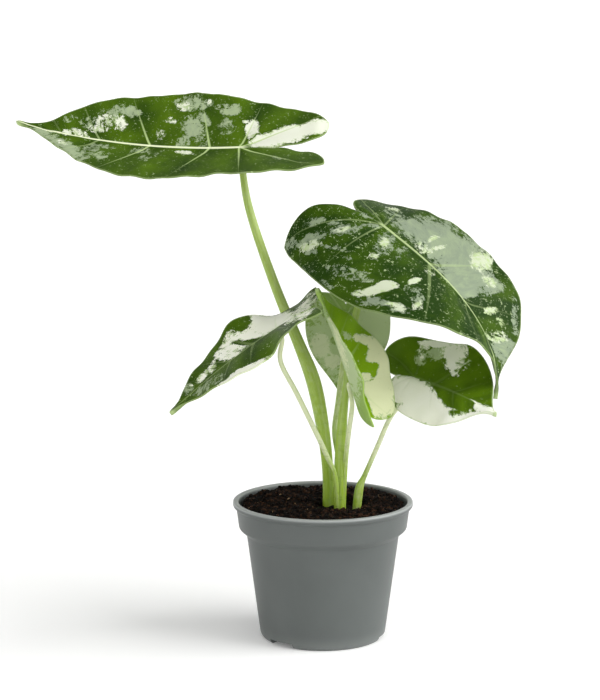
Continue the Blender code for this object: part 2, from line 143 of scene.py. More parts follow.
# Sectors of the variegation, by leaf and kind: centre along and left of the
# midrib, half sizes and turn of the ellipse, strength, on the flat leaf.
# Green sectors take the others away.
SECTORS = {
    "high": {
        "cream": (
            (-5.1, -2.2, 3.2, 2.1, 27, 1.3), (-8.9, -4.3, 4.4, 2.2, 25, 1.4),
            (-12.8, -6.2, 3.6, 1.8, 31, 1.4), (-15.1, -7.4, 1.2, 1.1, 65, 1.3),
            (-1.5, -5.9, 2.5, 1.2, -84, 1), (0, -7.6, 0.6, 0.5, -16, 0.7),
            (-1.2, -4.1, 0.7, 0.5, -28, 0.7), (13.1, -10.4, 1.6, 1.1, 4, 0.55),
            (8.4, -11.9, 1, 0.7, 15, 0.5), (14.4, -6.7, 1.9, 1, -12, 0.38),
            (16, -3.3, 1.6, 1.3, -54, 0.36), (24.7, -4.8, 1.9, 1.4, -65, 0.62),
            (27.7, -4.9, 2.2, 1.8, -1, 0.5), (28.2, -2.9, 2.2, 1.1, 9, 0.48),
            (31.6, -0.8, 2.3, 1, -19, 0.62), (33.9, -0.4, 1, 0.8, -43, 0.6),
            (37.2, 0.2, 1.8, 0.3, 0, 0.55), (33.3, 3, 1.4, 0.6, -29, 0.6), (9.8, 2.1, 1.9, 0.9, -3, 0.5),
        ),
        "mint": (
            (3.2, -10.4, 1.9, 1.3, 15, 0.95), (5.5, -10.8, 1, 0.6, 19, 0.55),
            (3.5, -6.5, 2.9, 2, -74, 0.42), (11.7, -11.2, 3.3, 1.7, 6, 0.75),
            (9.3, -11.3, 2.2, 1.3, 1, 0.8), (8.2, -7.8, 1.7, 0.8, -54, 1), (10, -5.5, 2.5, 1.9, -61, 1.2),
            (10.2, -3.1, 1.3, 1.2, -56, 0.8), (10.9, -1.1, 1.7, 1.2, -54, 0.75),
            (8.2, -2.3, 2.6, 2, -62, 0.42), (24.1, -8, 2.4, 1.2, 0, 1.1), (26.7, -7, 1.5, 0.9, 8, 0.7),
            (26.9, -5.3, 3, 2.2, 6, 0.55), (30.6, -3.7, 2, 1.5, 6, 0.42), (34.7, -3.7, 1.9, 1, 28, 0.42),
            (38.1, 1.2, 2.9, 1, -30, 1), (34.3, 3, 3.2, 1.3, -31, 1), (30.8, 5, 3.2, 1.4, -38, 1.1),
            (27.5, 7.3, 1.6, 1.2, -55, 0.8), (27.2, 3.8, 2.2, 1.6, -84, 0.75),
            (24.3, 5.8, 1.7, 1, 79, 0.65), (25.4, 2, 2.3, 0.9, 1, 0.62), (15.8, 4.7, 3.3, 1.5, 62, 0.45),
            (18.3, 2, 2, 1.1, 8, 0.5), (-7.7, 6, 1.9, 0.9, -51, 0.36),
        ),
    },
    "broad": {
        "cream": (
            (16.2, 13.1, 3.7, 2.2, -81, 0.62), (20, 10.2, 1.9, 1.7, -54, 0.5), (7, 3.3, 2.1, 1, 89, 0.5),
            (7.1, 8.1, 2.9, 0.5, 86, 0.6), (8.4, 2.6, 2.1, 0.8, 75, 0.5), (9.2, 6.6, 2.7, 0.4, 77, 0.6),
            (24, 5.1, 2.1, 0.9, 64, 0.8), (25.9, 3.8, 3.9, 2, 65, 0.52), (28.2, 3, 3.5, 1.2, 61, 0.75),
            (-9.1, -11.7, 2.6, 1.1, 24, 0.58), (-4.7, -6.4, 1.9, 0.7, 46, 0.5),
            (3.5, -8.4, 1.1, 0.9, 63, 0.5), (2.8, -4.2, 2.1, 0.9, -75, 0.5),
            (12.1, -2.2, 1.7, 1.1, 87, 0.42), (11.8, -7.9, 1.7, 0.6, 77, 0.72),
            (15.6, -12.7, 1.4, 0.9, -79, 0.5), (7.8, -15.1, 2.4, 0.9, 59, 1),
            (9.2, -12.6, 1.7, 1.1, 51, 1.05), (6.4, -16.5, 1, 0.8, 46, 0.8),
            (13.3, -15.2, 2.1, 0.8, 13, 0.6), (-3.1, 10.1, 2.3, 1.3, 80, 0.45),
        ),
        # The large mint sectors on this leaf's left half, shown in grey mint, are partly painted sheen.
        "mint": (
            (3.4, 7.1, 4.3, 3.2, 66, 1.3), (7.4, 9.1, 6.4, 4.9, -64, 1.4),
            (13.7, 8.8, 7.1, 5.3, -76, 1.4), (17.2, 3.6, 5, 4.2, 77, 1.4),
            (19.3, 9.4, 3.8, 3.3, -79, 1.3), (22.7, 11.4, 3.9, 1.7, 89, 1), (31, 3.9, 2.9, 2, 63, 1.1),
            (28.1, 9.6, 4.7, 0.9, -40, 0.55), (33.7, 3.9, 2.1, 0.6, -49, 0.6),
            (-14.9, -11.7, 1.9, 1, 9, 0.75), (-9.7, -10.6, 3.2, 1.5, 27, 0.8),
            (-5.4, -11.1, 1.2, 0.5, 8, 0.6), (-7.8, -12.8, 1.7, 0.5, 12, 0.75),
            (-4.6, -6.5, 2.9, 1.2, 43, 0.82), (-11.2, -6.9, 2.3, 1, 28, 0.6),
            (-6.8, -5.5, 1.8, 0.6, 39, 0.5), (-1.5, -2.5, 2.6, 0.7, 55, 0.6),
            (-2.3, -10.3, 2, 0.7, 10, 0.42), (-0.1, -11.4, 1.1, 0.5, 14, 0.5),
            (2.9, -4, 3.3, 1.6, -75, 0.72), (6.5, -3.5, 2.7, 1.6, -82, 0.42),
            (12.7, -10, 2, 1.5, 84, 0.4), (14.7, -11.3, 1.7, 1.1, -68, 0.55), (9.2, -16.6, 2.2, 1, 29, 1),
            (13.5, -15.2, 2.2, 1, 16, 0.8), (11.3, -15.8, 1.5, 0.8, 28, 1),
            (2.2, -13.9, 6.2, 1.8, 14, 0.33), (-5.9, -16, 3.2, 0.6, -5, 0.36),
            (0, -17.4, 3.2, 0.6, -8, 0.4), (-4.3, -0.7, 2.1, 1.1, 35, 0.6),
            (-1.1, 7.6, 3.5, 2.7, 84, 0.5),
        ),
        "green": (
            (21, 14.4, 2.1, 1.5, -46, 1.3), (23.2, 12.4, 1.6, 0.9, 80, 1.1),
            (21.6, 3.7, 4.2, 0.9, 64, 1.4), (23.6, 9.3, 2.2, 1.2, 76, 1.1), (25.6, 2.4, 4, 2.3, 65, 0.5),
            (11.3, -13.7, 1.2, 1, -82, 1.4),
        ),
    },
    "folded": {
        "cream": (
            (0.9, -4.8, 5.4, 3.1, -75, 1.4), (-1.3, -3.4, 4.7, 2.5, -90, 1.4),
            (4.1, -3.5, 3.3, 2.1, -65, 1.1), (7.3, -4.4, 3.4, 2.4, -79, 0.92),
            (8.9, -3.8, 2.6, 2.4, -81, 0.8), (9, -1.7, 2, 1.2, -53, 0.8), (13.1, -2.5, 2.1, 1, 55, 0.52),
            (15.6, -2.3, 1.8, 1.2, 34, 0.82), (17.8, -2.1, 0.9, 0.6, -73, 0.5),
            (8.8, 7.9, 6.3, 1, -12, 1.3), (5, 9.1, 1.4, 0.3, -1, 0.5), (-6, 0.4, 7.8, 2.4, 77, 0.75),
            (-3.4, 1.5, 4.9, 1.6, 77, 0.6),
        ),
        "mint": (
            (18.6, -1.6, 1.6, 1, 37, 0.6), (15.9, 2.5, 3.4, 2, -28, 0.6), (-0.5, 7.9, 2.5, 1.9, 55, 0.5),
            (-8.1, -5.9, 3.1, 1.3, 85, 0.8),
        ),
        "green": (
            (3.9, -7.8, 1.9, 1.2, 68, 1.4), (6.6, -9, 2.5, 0.3, 8, 1.3), (10.1, -7.7, 2.8, 0.7, 30, 1.3),
            (14.5, -4.6, 3.3, 0.9, 42, 1), (4.6, -1.3, 2.6, 0.7, -47, 1.2), (6.8, -4, 1.1, 0.6, -66, 1),
            (3.7, 7.6, 4.2, 2, -18, 1),
        ),
    },
    "young": {
        "cream": (
            (6.2, -5.8, 1.8, 1, 59, 1.2), (4.2, -7.7, 1.6, 1.5, 68, 1.3), (2.8, -5.9, 1.7, 1.4, 85, 1.25),
            (-0.2, -7.4, 3.2, 1.4, -7, 1.5), (0.1, -3.3, 1.8, 0.8, 69, 1), (-4, -4.4, 3.4, 3.2, -84, 1.5),
            (-2.3, -2.8, 1.8, 1.5, 72, 1.2), (6.6, -0.5, 1.3, 1.1, 32, 0.5),
            (7.9, 3.8, 4.9, 1.9, 22, 0.8), (4.4, 1.9, 2.8, 0.6, 8, 0.6), (11.7, 4.1, 2.7, 0.9, -27, 0.5),
        ),
        "mint": (
            (8, -2.9, 1.7, 0.8, 50, 0.6), (6.7, 3.8, 7.5, 3.6, 4, 1.5),
        ),
        "green": (
            (4.6, -3.9, 1.6, 1.4, -67, 1.4), (1.8, -3.7, 2.6, 0.8, 70, 1.4),
            (0.7, -5.2, 1.3, 0.6, -23, 1.2), (1.1, -0.7, 1.8, 1, -28, 1.4), (-3.8, -1.2, 3.3, 1, 10, 1.6),
        ),
    },
    "back": {
        "cream": (
            (6.1, 4.3, 2.2, 1.7, -3, 1.2), (9, 2.2, 1.4, 1.4, -13, 1), (-0.9, 6.7, 1.3, 1.1, -9, 0.6),
        ),
        "mint": (
            (5.5, 2.8, 5.9, 4.5, -19, 1.1), (10.6, 2.1, 2.4, 1.2, -25, 0.8),
            (8.5, 3.4, 2.8, 2.3, -36, 0.6), (-1.3, 5.3, 2.7, 1.7, -88, 0.6),
            (1.7, -5.3, 3.9, 3.7, 20, 1.4), (5.6, -3.8, 3.3, 2.3, 86, 1.3),
        ),
        "green": (
            (-2.5, 6.7, 1.2, 0.6, 12, 0.8), (4.7, 1.8, 2.4, 1.1, -1, 0.5),
        ),
    },
    "low": {
        "cream": (
            (0.3, 8.4, 2.5, 0.7, 18, 1.2), (4.1, 7.7, 2.4, 1.9, -21, 1.05), (5.1, 5, 1.5, 0.9, -54, 1.1),
            (-1.2, 7.3, 0.9, 0.8, 31, 0.85), (-1.2, 5.5, 1.7, 0.4, -67, 0.6),
            (6.9, 4.7, 1.8, 1.2, 74, 0.5), (0.6, -3, 5.2, 2.6, -7, 1.6), (6.7, -4.5, 6.3, 2.9, 11, 1.7),
            (13.8, -3.9, 5, 0.6, 38, 1.5), (16.5, -0.4, 2.3, 0.9, 8, 1.3), (14.6, 0.1, 1.8, 0.3, 3, 1),
            (13.8, -1.9, 1.2, 0.8, 9, 0.7),
        ),
        "mint": (
            (2.8, 6.3, 1.6, 1, -44, 0.6), (1.2, 6.5, 1.7, 1.3, 2, 1.2), (-1, 4.7, 1.7, 1, -63, 0.9),
            (7.6, 6.4, 1.4, 0.9, -58, 0.45),
        ),
        "green": (
            (7, 4.6, 1.1, 0.6, -12, 0.3), (10.2, -1.1, 3.3, 2, -2, 1.8), (11.7, -3.5, 1.5, 0.7, 18, 1),
            (15.5, 0.2, 1.5, 0.3, 0, 0.6),
        ),
    },
}

# One row for each stalk: its foot on the corm, the radius under the blade,
# how far below the blade it turns square to it, how high the sheath's open
# seam reaches and on which side it lies, how pale the skin is, and points
# on the way up with the radius. The folded and young leaves' stalks rise
# out of the broad one's sheath, a little off their solids' routes.
STALKS = {
    "high": dict(
        foot=(1.0, 1.2), end_radius=0.60, rise=6.0, sheath=48.0, seam=0.5, pale=0.1,
        route=((0.9, 1.3, 30.9, 1.02), (0.1, 1.5, 38.1, 1.18), (-1.7, 2.0, 47.3, 1.36),
               (-4.5, 2.7, 54.5, 1.08), (-9.0, 3.8, 65.5, 0.88), (-13.5, 4.8, 78.8, 0.74)),
    ),
    "broad": dict(
        foot=(3.1, -1.3), end_radius=0.58, rise=5.0, sheath=38.0, seam=-0.3, pale=0,
        route=((3.2, -1.1, 33.3, 1.10), (3.6, -0.7, 41.1, 0.86), (4.2, -0.3, 46.6, 0.70),
               (5.3, 0.3, 56.9, 0.66), (7.4, 0.2, 65.6, 0.64)),
    ),
    "folded": dict(
        foot=(2.8, -1.7), end_radius=0.40, rise=3.0, pale=0.7,
        route=((2.2, -2.3, 30.5, 0.48), (0.7, -3.4, 34.5, 0.47), (-1.1, -4.6, 38.7, 0.46),
               (-4.8, -6.5, 46.7, 0.45), (-7.8, -8.3, 53.0, 0.43)),
    ),
    "young": dict(
        foot=(3.7, -1.6), end_radius=0.38, rise=0.5, pale=0.55,
        route=((4.1, -2.0, 33.0, 0.45), (4.7, -4.2, 39.6, 0.44), (5.2, -5.8, 44.7, 0.42)),
    ),
    "back": dict(
        foot=(3.2, 1.9), end_radius=0.45, rise=3.0, pale=0.35,
        route=((2.9, 2.5, 32.6, 0.50), (2.2, 3.3, 37.8, 0.55), (2.9, 4.2, 43.3, 0.56),
               (3.8, 5.2, 51.2, 0.50)),
    ),
    "low": dict(
        foot=(6.2, -0.5), end_radius=0.38, rise=4.0, sheath=29.0, seam=0.2, pale=0.9,
        route=((6.7, -0.6, 28.0, 0.80), (7.6, -0.7, 30.2, 0.47), (10.0, -1.4, 36.0, 0.44),
               (12.6, -1.6, 41.9, 0.43)),
    ),
}
# Settings that many shader nodes share.
SMOOTH = {"interpolation_type": "SMOOTHSTEP"}
COLOUR = {"data_type": "RGBA"}
TIMES = {"operation": "MULTIPLY"}
LESS = {"operation": "SUBTRACT"}
OVER = {"operation": "DIVIDE"}


def linear(hexadecimal):
    """An sRGB hex colour as linear RGBA."""
    parts = np.array([int(hexadecimal[k:k + 2], 16) / 255 for k in (1, 3, 5)])
    low = parts / 12.92
    high = ((parts + 0.055) / 1.055) ** 2.4
    return (*np.where(parts <= 0.04045, low, high), 1.0)


def feed(socket, value):
    """Links an input to another node's output, or sets its own value."""
    if isinstance(value, bpy.types.NodeSocket):
        socket.id_data.links.new(value, socket)
    else:
        socket.default_value = value


def add_node(tree, kind, *values, out=None, **named):
    """One node with its settings and links, as the output that others read.

    The values go to the inputs in use, in their order. A keyword with a
    capital letter is an input by its name, and any other is a setting. The
    output is the first one in use, unless out names another.
    """
    node = tree.nodes.new("ShaderNode" + kind)
    for name, value in named.items():
        if name.islower():
            setattr(node, name, value)
    in_use = [socket for socket in node.inputs if socket.enabled]
    for socket, value in zip(in_use, values):
        feed(socket, value)
    for name, value in named.items():
        if not name.islower():
            feed(node.inputs[name], value)
    return node.outputs[out] if out else next(each for each in node.outputs if each.enabled)


def new_material(name):
    """A material, its Principled shader, and add_node for its tree."""
    material = bpy.data.materials.new(name)
    material.use_nodes = True
    tree = material.node_tree
    return material, tree.nodes["Principled BSDF"], functools.partial(add_node, tree)


def finish_shader(shader, inputs):
    """Feeds the shader's inputs by their names."""
    for name, value in inputs.items():
        feed(shader.inputs[name], value)


def layered(put, skin, layers):
    """Colours laid over a skin in turn, each by its share from 0 to 1."""
    for share, shade in layers:
        skin = put("Mix", share, skin, shade, **COLOUR)
    return skin


def make_mesh(name, points, faces, smooth=True):
    """An object from points in mm and rows of three or four point numbers."""
    mesh = bpy.data.meshes.new(name)
    mesh.from_pydata((np.asarray(points) * MM).tolist(), [], [tuple(f) for f in faces])
    mesh.polygons.foreach_set("use_smooth", np.full(len(mesh.polygons), smooth))
    mesh.update()
    thing = bpy.data.objects.new(name, mesh)
    bpy.context.scene.collection.objects.link(thing)
    return thing


def carry(thing, name, values):
    """Stores one number or one vector for each point of a mesh."""
    values = np.asarray(values, np.float32)
    kind, key = ("FLOAT", "value") if values.ndim == 1 else ("FLOAT_VECTOR", "vector")
    thing.data.attributes.new(name, kind, "POINT").data.foreach_set(key, values.ravel())


def grid_faces(rows, columns, closed=True):
    """Quads between rows of points; closed joins each row's end to its start."""
    here = np.arange(columns if closed else columns - 1)
    after = (here + 1) % columns
    starts = np.arange(rows - 1)[:, None] * columns
    quads = np.stack([starts + here, starts + after, starts + columns + after,
                      starts + columns + here], -1)
    return quads.reshape(-1, 4)


# Leaf blades

def bezier(points, count, with_end=False):
    """Points along a cubic curve, given its four control points."""
    t = np.linspace(0, 1, count + 1)[:, None]
    if not with_end:
        t = t[:-1]
    a, b, c, d = (np.asarray(p, float) for p in points)
    return (1 - t) ** 3 * a + 3 * (1 - t) ** 2 * t * b + 3 * (1 - t) * t ** 2 * c + t ** 3 * d


def half_outline(leaf, side):
    """One half of the flat arrowhead, as three cubic curves end to end.

    They run from the tip at length to the widest point, on to the lobe's
    end, which lies lobe behind the hub and lobe_out beside it, and in to
    the notch. A higher full or lobe_full makes the blade or its lobe
    rounder, and closed draws the lobe in over the notch.
    """
    length, notch, widest = leaf["length"], leaf["notch"], leaf["widest"]
    width, lobe = leaf["width"][side], leaf["lobe"][side]
    out, full = leaf["lobe_out"][side], leaf["full"][side]
    tip = np.array((length, 0.0))
    wide = np.array((widest, width))
    end = np.array((-lobe, out))
    inner = np.array((-notch, 0.0))
    run = length - widest
    shape = leaf.get("lobe_full", (0.55, 0.55))[side]
    closed = leaf.get("closed", (0.0, 0.0))[side]
    back = (widest + lobe) * shape
    first = (tip, tip + (-run * 0.30, width * 0.10), wide + (run * full, 0), wide)
    second = (wide, wide - (back, 0), end + (0, (width - out) * shape), end)
    inward = inner + (-(lobe - notch) * (0.45 + 0.35 * closed), out * 0.10 * (1 - closed))
    third = (end, end - (0, out * (0.75 + 0.2 * closed)), inward, inner)
    ahead, behind, within = EDGE_STEPS
    drip = bezier(first, ahead)
    blunt = DRIP_HALF_WIDTH * np.sqrt(np.clip((length - drip[:, 0]) / 0.8, 0, 1))
    drip[:, 1] = np.maximum(drip[:, 1], blunt)
    return np.vstack([drip, bezier(second, behind), bezier(third, within, True)])


def outline(leaf):
    """The whole flat outline, from the tip round by the left to the notch."""
    left, right = half_outline(leaf, 0), half_outline(leaf, 1)
    right[:, 1] *= -1
    return np.vstack([left, right[::-1][1:-1]])


def ease(x):
    """3x^2 - 2x^3 on 0 to 1."""
    x = np.clip(x, 0, 1)
    return x * x * (3 - 2 * x)


def midrib(leaf, u):
    """Run, rise and slope of the bent midrib at distance u from the hub.

    The slope grows as a power of u towards the tip (droop, bend) and in
    proportion to u towards the lobes (fall); run and rise are its integrals.
    """
    length, back = leaf["length"], max(leaf["lobe"])
    steps = np.linspace(-back, length, 161)
    droop = -math.radians(leaf["droop"]) * (np.abs(steps) / length) ** leaf["bend"]
    fall = math.radians(leaf["fall"]) * np.abs(steps) / back
    slope = np.where(steps > 0, droop, fall)
    pace = np.diff(steps)
    run = np.concatenate([[0], np.cumsum((np.cos(slope[1:]) + np.cos(slope[:-1])) / 2 * pace)])
    rise = np.concatenate([[0], np.cumsum((np.sin(slope[1:]) + np.sin(slope[:-1])) / 2 * pace)])
    run -= np.interp(0, steps, run)
    rise -= np.interp(0, steps, rise)
    return np.interp(u, steps, run), np.interp(u, steps, rise), np.interp(u, steps, slope)


def cross_section(leaf, side, across, along):
    """Out and up of a half blade at a distance across it.

    The half turns by its fold near the midrib and by its curl on the way
    out; both are the mean of the turning angle's cosine and sine.
    """
    width = leaf["width"][side]
    share = (np.arange(12) + 0.5) / 12
    walk = across[..., None] * share
    fold = np.radians(leaf["fold"][side] + leaf["fold_gain"][side] * along)[..., None]
    tilt = fold * ease(walk / (0.18 * width)) + math.radians(leaf["curl"][side]) * walk / width
    return np.cos(tilt).mean(-1) * across, np.sin(tilt).mean(-1) * across


def attitude(leaf):
    """The turn from the blade's own axes (tip, left, up) to the world's."""
    roll, pitch, heading = (math.radians(leaf[k]) for k in ("roll", "pitch", "heading"))
    cr, sr, cp, sp = math.cos(roll), math.sin(roll), math.cos(pitch), math.sin(pitch)
    ch, sh = math.cos(heading), math.sin(heading)
    about_x = np.array(((1, 0, 0), (0, cr, -sr), (0, sr, cr)))
    about_y = np.array(((cp, 0, -sp), (0, 1, 0), (sp, 0, cp)))
    about_z = np.array(((ch, -sh, 0), (sh, ch, 0), (0, 0, 1)))
    return about_z @ about_y @ about_x


def blade_surface(leaf, flat):
    """Middle surface of the blade in mm, for points (u, v) of the flat leaf.

    Each point goes out and up by the cross-section, rises with the margin's
    wave (a sine along u, growing with the square of v), turns by the twist,
    rides on the bent midrib, is swept sideways on an arc, and takes the
    blade's attitude about its hub.
    """
    u, v = flat[..., 0], flat[..., 1]
    length = leaf["length"]
    run, rise, slope = midrib(leaf, u)
    across = np.abs(v)
    along = np.clip(u / length, -0.5, 1)
    left = v >= 0
    out_left, up_left = cross_section(leaf, 0, across, along)
    out_right, up_right = cross_section(leaf, 1, across, along)
    side = np.where(left, out_left, -out_right)
    up = np.where(left, up_left, up_right)
    width = np.where(left, *leaf["width"])
    wave = np.where(left, *leaf["wave"])
    phase = np.radians(np.where(left, *leaf["phase"]))
    edge = np.clip(across / width, 0, 1.2) ** 2
    up = up + wave * edge * np.sin(2 * math.pi * WAVES_ALONG * u / length + phase)
    twist = math.radians(leaf["twist"]) * u / length
    sideways = side * np.cos(twist) - up * np.sin(twist)
    upright = side * np.sin(twist) + up * np.cos(twist)
    x = run - upright * np.sin(slope)
    z = rise + upright * np.cos(slope)
    turn = math.radians(leaf["sweep"]) / length
    bent = turn * x
    reach = np.where(np.abs(bent) > 1e-6, np.sin(bent) / turn, x)
    x = reach - sideways * np.sin(bent)
    y = (1 - np.cos(bent)) / turn + sideways * np.cos(bent)
    return np.stack([x, y, z], -1) @ attitude(leaf).T + np.array(leaf["hub"])


def vein_count(name, flat):
    """Which side vein a point lies on, and how many mm one vein's step is.

    Ahead of the hub a side vein leaves the midrib at m and leans on tipwards
    by the lean plus a share of m / length for each mm across, so m is
    (u - lean |v|) / (1 + spread |v| / length), which is read against the
    veins' starting places. Behind it the veins fan out from the hub.
    """
    length = LEAVES[name]["length"]
    u, across = flat[..., 0], np.abs(flat[..., 1])
    starts = np.array((0.0,) + LEAVES[name]["veins"])
    widening = 1 + VEIN_SPREAD * across / length
    m = (u - VEIN_LEAN * across) / widening
    numbers = np.arange(len(starts)) - 1.0
    numbers[0] = -0.5
    ahead = np.interp(m, starts, numbers)
    ahead = np.where(m > starts[-1], numbers[-1] + (m - starts[-1]) / 4, ahead)
    gap = np.interp(ahead, numbers[1:] + 0.5, np.append(np.diff(starts[1:]), 4.0))
    behind = np.arctan2(across, u) - math.atan2(1.0, VEIN_LEAN)
    number = np.where(m >= 0, ahead, -0.5 - behind / VEIN_FAN)
    step = np.where(m >= 0, gap * widening * 0.85, np.hypot(u, across) * VEIN_FAN)
    return number, step


def sector_field(name, kind, flat):
    """How strongly a kind of sector covers each point, 0 to about 1.4.

    Each ellipse gives strength * exp(-0.7 d^3), d being 1 on its edge; the
    strongest one counts. A sector stays on its own half of the blade.
    """
    field = np.zeros(flat.shape[:-1])
    for u, v, long, short, turn, strength in SECTORS[name].get(kind, ()):
        c, s = math.cos(math.radians(turn)), math.sin(math.radians(turn))
        x, y = flat[..., 0] - u, flat[..., 1] - v
        d = np.hypot((c * x + s * y) / long, (c * y - s * x) / short)
        cover = strength * np.exp(-0.7 * d ** 3)
        if abs(v) > 0.5:
            cover = cover * (flat[..., 1] * v > -0.02)
        field = np.maximum(field, cover)
    return field


def surface_normals(points, faces):
    """Unit normals at the points, as the mean of the faces round each."""
    corners = points[faces]
    cross = np.cross(corners[:, 2] - corners[:, 0], corners[:, 3] - corners[:, 1])
    normals = np.zeros_like(points)
    for k in range(4):
        np.add.at(normals, faces[:, k], cross)
    return normals / np.maximum(np.linalg.norm(normals, axis=1), 1e-12)[:, None]


def relief(name, flat, share):
    """Height of the upper face over the middle surface's own form, in mm.

    Side veins lie in shallow grooves, a cosine of the vein number, and the
    tissue between them is pillowed; the midrib is a narrow groove. Both
    grow with the square of the leaf's length and fade at the margin, which
    has a fine ripple of two sines along u.
    """
    length = LEAVES[name]["length"]
    number, _ = vein_count(name, flat)
    u, across = flat[..., 0], np.abs(flat[..., 1])
    fade = (1 - share ** 4) * ease(across / 2.0)
    pillow = -0.5 - 0.5 * np.cos(2 * math.pi * number)
    groove = -np.exp(-(across / 0.45) ** 2)
    ripple = np.sin(u * 0.8 + 1.3 * np.sign(flat[..., 1])) + np.sin(u * 1.27)
    ripple = 0.11 * ripple * ease((share - 0.55) / 0.45) * (1 - ease(u / length * 5 - 4))
    return (0.24 * pillow * fade + 0.10 * groove) * (length / 44) ** 2 + ripple


def build_blade(name, sizes, upper, under):
    """A blade with a thin margin, made of rings of points round the hub.

    A ring is the flat outline times a share from 0 to 1, laid on the middle
    surface. The upper face is that plus half the thickness along the
    normals, the lower face minus it, and a strip joins them at the margin.
    The lower face carries the midrib's keel, which thins towards the tip,
    and the drip tip is a little thicker than the margin beside it.
    """
    leaf = LEAVES[name]
    edge = outline(leaf)
    count, rings = len(edge), sizes.rings
    share = np.linspace(0, 1, rings + 1)[1:] ** 0.9
    flat = share[:, None, None] * edge
    middle = blade_surface(leaf, flat).reshape(-1, 3)
    quads = grid_faces(rings, count)[:, ::-1]
    normals = surface_normals(middle, quads)
    flat = flat.reshape(-1, 2)
    reach = np.repeat(share, count)
    ahead = np.clip(flat[:, 0] / leaf["length"], 0, 1)
    height = relief(name, flat, reach)
    thick, thin = sizes.middle / MM / 2, sizes.margin / MM / 2
    half = thick + (thin - thick) * reach ** 2
    half = half + 0.26 * ease((flat[:, 0] - leaf["length"] + DRIP_LENGTH) / 2.0)
    keel = sizes.keel / MM * np.exp(-(flat[:, 1] / 0.5) ** 2) * (1 - ahead)
    top = middle + normals * (height + half)[:, None]
    low = middle + normals * (height - half - keel)[:, None]
    hub, up = np.array(leaf["hub"]), attitude(leaf)[:, 2]
    points = np.vstack([top, low, hub + up * (thick - 0.1), hub - up * (thick + 0.1)])
    total = len(middle)
    here = np.arange(count)
    after = (here + 1) % count
    last = (rings - 1) * count
    cap = np.stack([here, after, np.full(count, 2 * total)], -1)
    base = np.stack([after + total, here + total, np.full(count, 2 * total + 1)], -1)
    rim = np.stack([last + here, last + here + total, last + after + total, last + after], -1)
    upper_faces = list(quads) + list(cap)
    lower_faces = list(quads[:, ::-1] + total) + list(base)
    thing = make_mesh("leaf_" + name, points, upper_faces + lower_faces + list(rim))
    thing.data.materials.append(upper)
    thing.data.materials.append(under)
    slots = np.zeros(len(thing.data.polygons), np.int32)
    slots[len(upper_faces):len(upper_faces) + len(lower_faces)] = 1
    thing.data.polygons.foreach_set("material_index", slots)
    both = np.vstack([flat, flat, np.zeros((2, 2))])
    carry_pattern(thing, name, both, edge, reach)
    return thing


def carry_pattern(thing, name, flat, edge, reach):
    """Stores what the leaf's finish reads at each point of the blade."""
    leaf = LEAVES[name]
    number, step = vein_count(name, flat)
    width = np.where(flat[:, 1] >= 0, *leaf["width"])
    span = np.tile(np.linalg.norm(edge, axis=1), len(reach) // len(edge))
    seed = list(LEAVES).index(name) * 37.0
    everywhere = np.ones(len(flat))
    carry(thing, "vein_number", number)
    carry(thing, "vein_step", step)
    carry(thing, "across", np.abs(flat[:, 1]))
    carry(thing, "reach", np.abs(flat[:, 1]) / width)
    carry(thing, "ahead", flat[:, 0] / leaf["length"])
    carry(thing, "to_edge", np.append(np.tile((1 - reach) * span, 2), (9.0, 9.0)))
    carry(thing, "place", np.column_stack([flat, seed * everywhere]))
    away = np.hypot(flat[:, 0], flat[:, 1]) * 0.35
    carry(thing, "grain", np.column_stack([number * 5.0, away, np.sign(flat[:, 1]) + seed]))
    for kind in KINDS:
        carry(thing, kind, sector_field(name, kind, flat))
    for key in SHADES:
        carry(thing, key, leaf[key] * everywhere)


# Stalks

def spline(points, count):
    """Even steps along a Catmull-Rom curve through rows of numbers."""
    points = np.asarray(points, float)
    ends = np.vstack([2 * points[0] - points[1], points, 2 * points[-1] - points[-2]])
    fine = []
    for a, b, c, d in zip(ends, ends[1:], ends[2:], ends[3:]):
        t = np.linspace(0, 1, 24, endpoint=False)[:, None]
        fine.append(0.5 * (2 * b + (c - a) * t + (2 * a - 5 * b + 4 * c - d) * t ** 2
                           + (3 * b - a - 3 * c + d) * t ** 3))
    fine = np.vstack(fine + [points[-1:]])
    reach = np.concatenate([[0], np.cumsum(np.linalg.norm(np.diff(fine[:, :3], axis=0), axis=1))])
    even = np.linspace(0, reach[-1], count)
    return np.stack([np.interp(even, reach, column) for column in fine.T], -1)


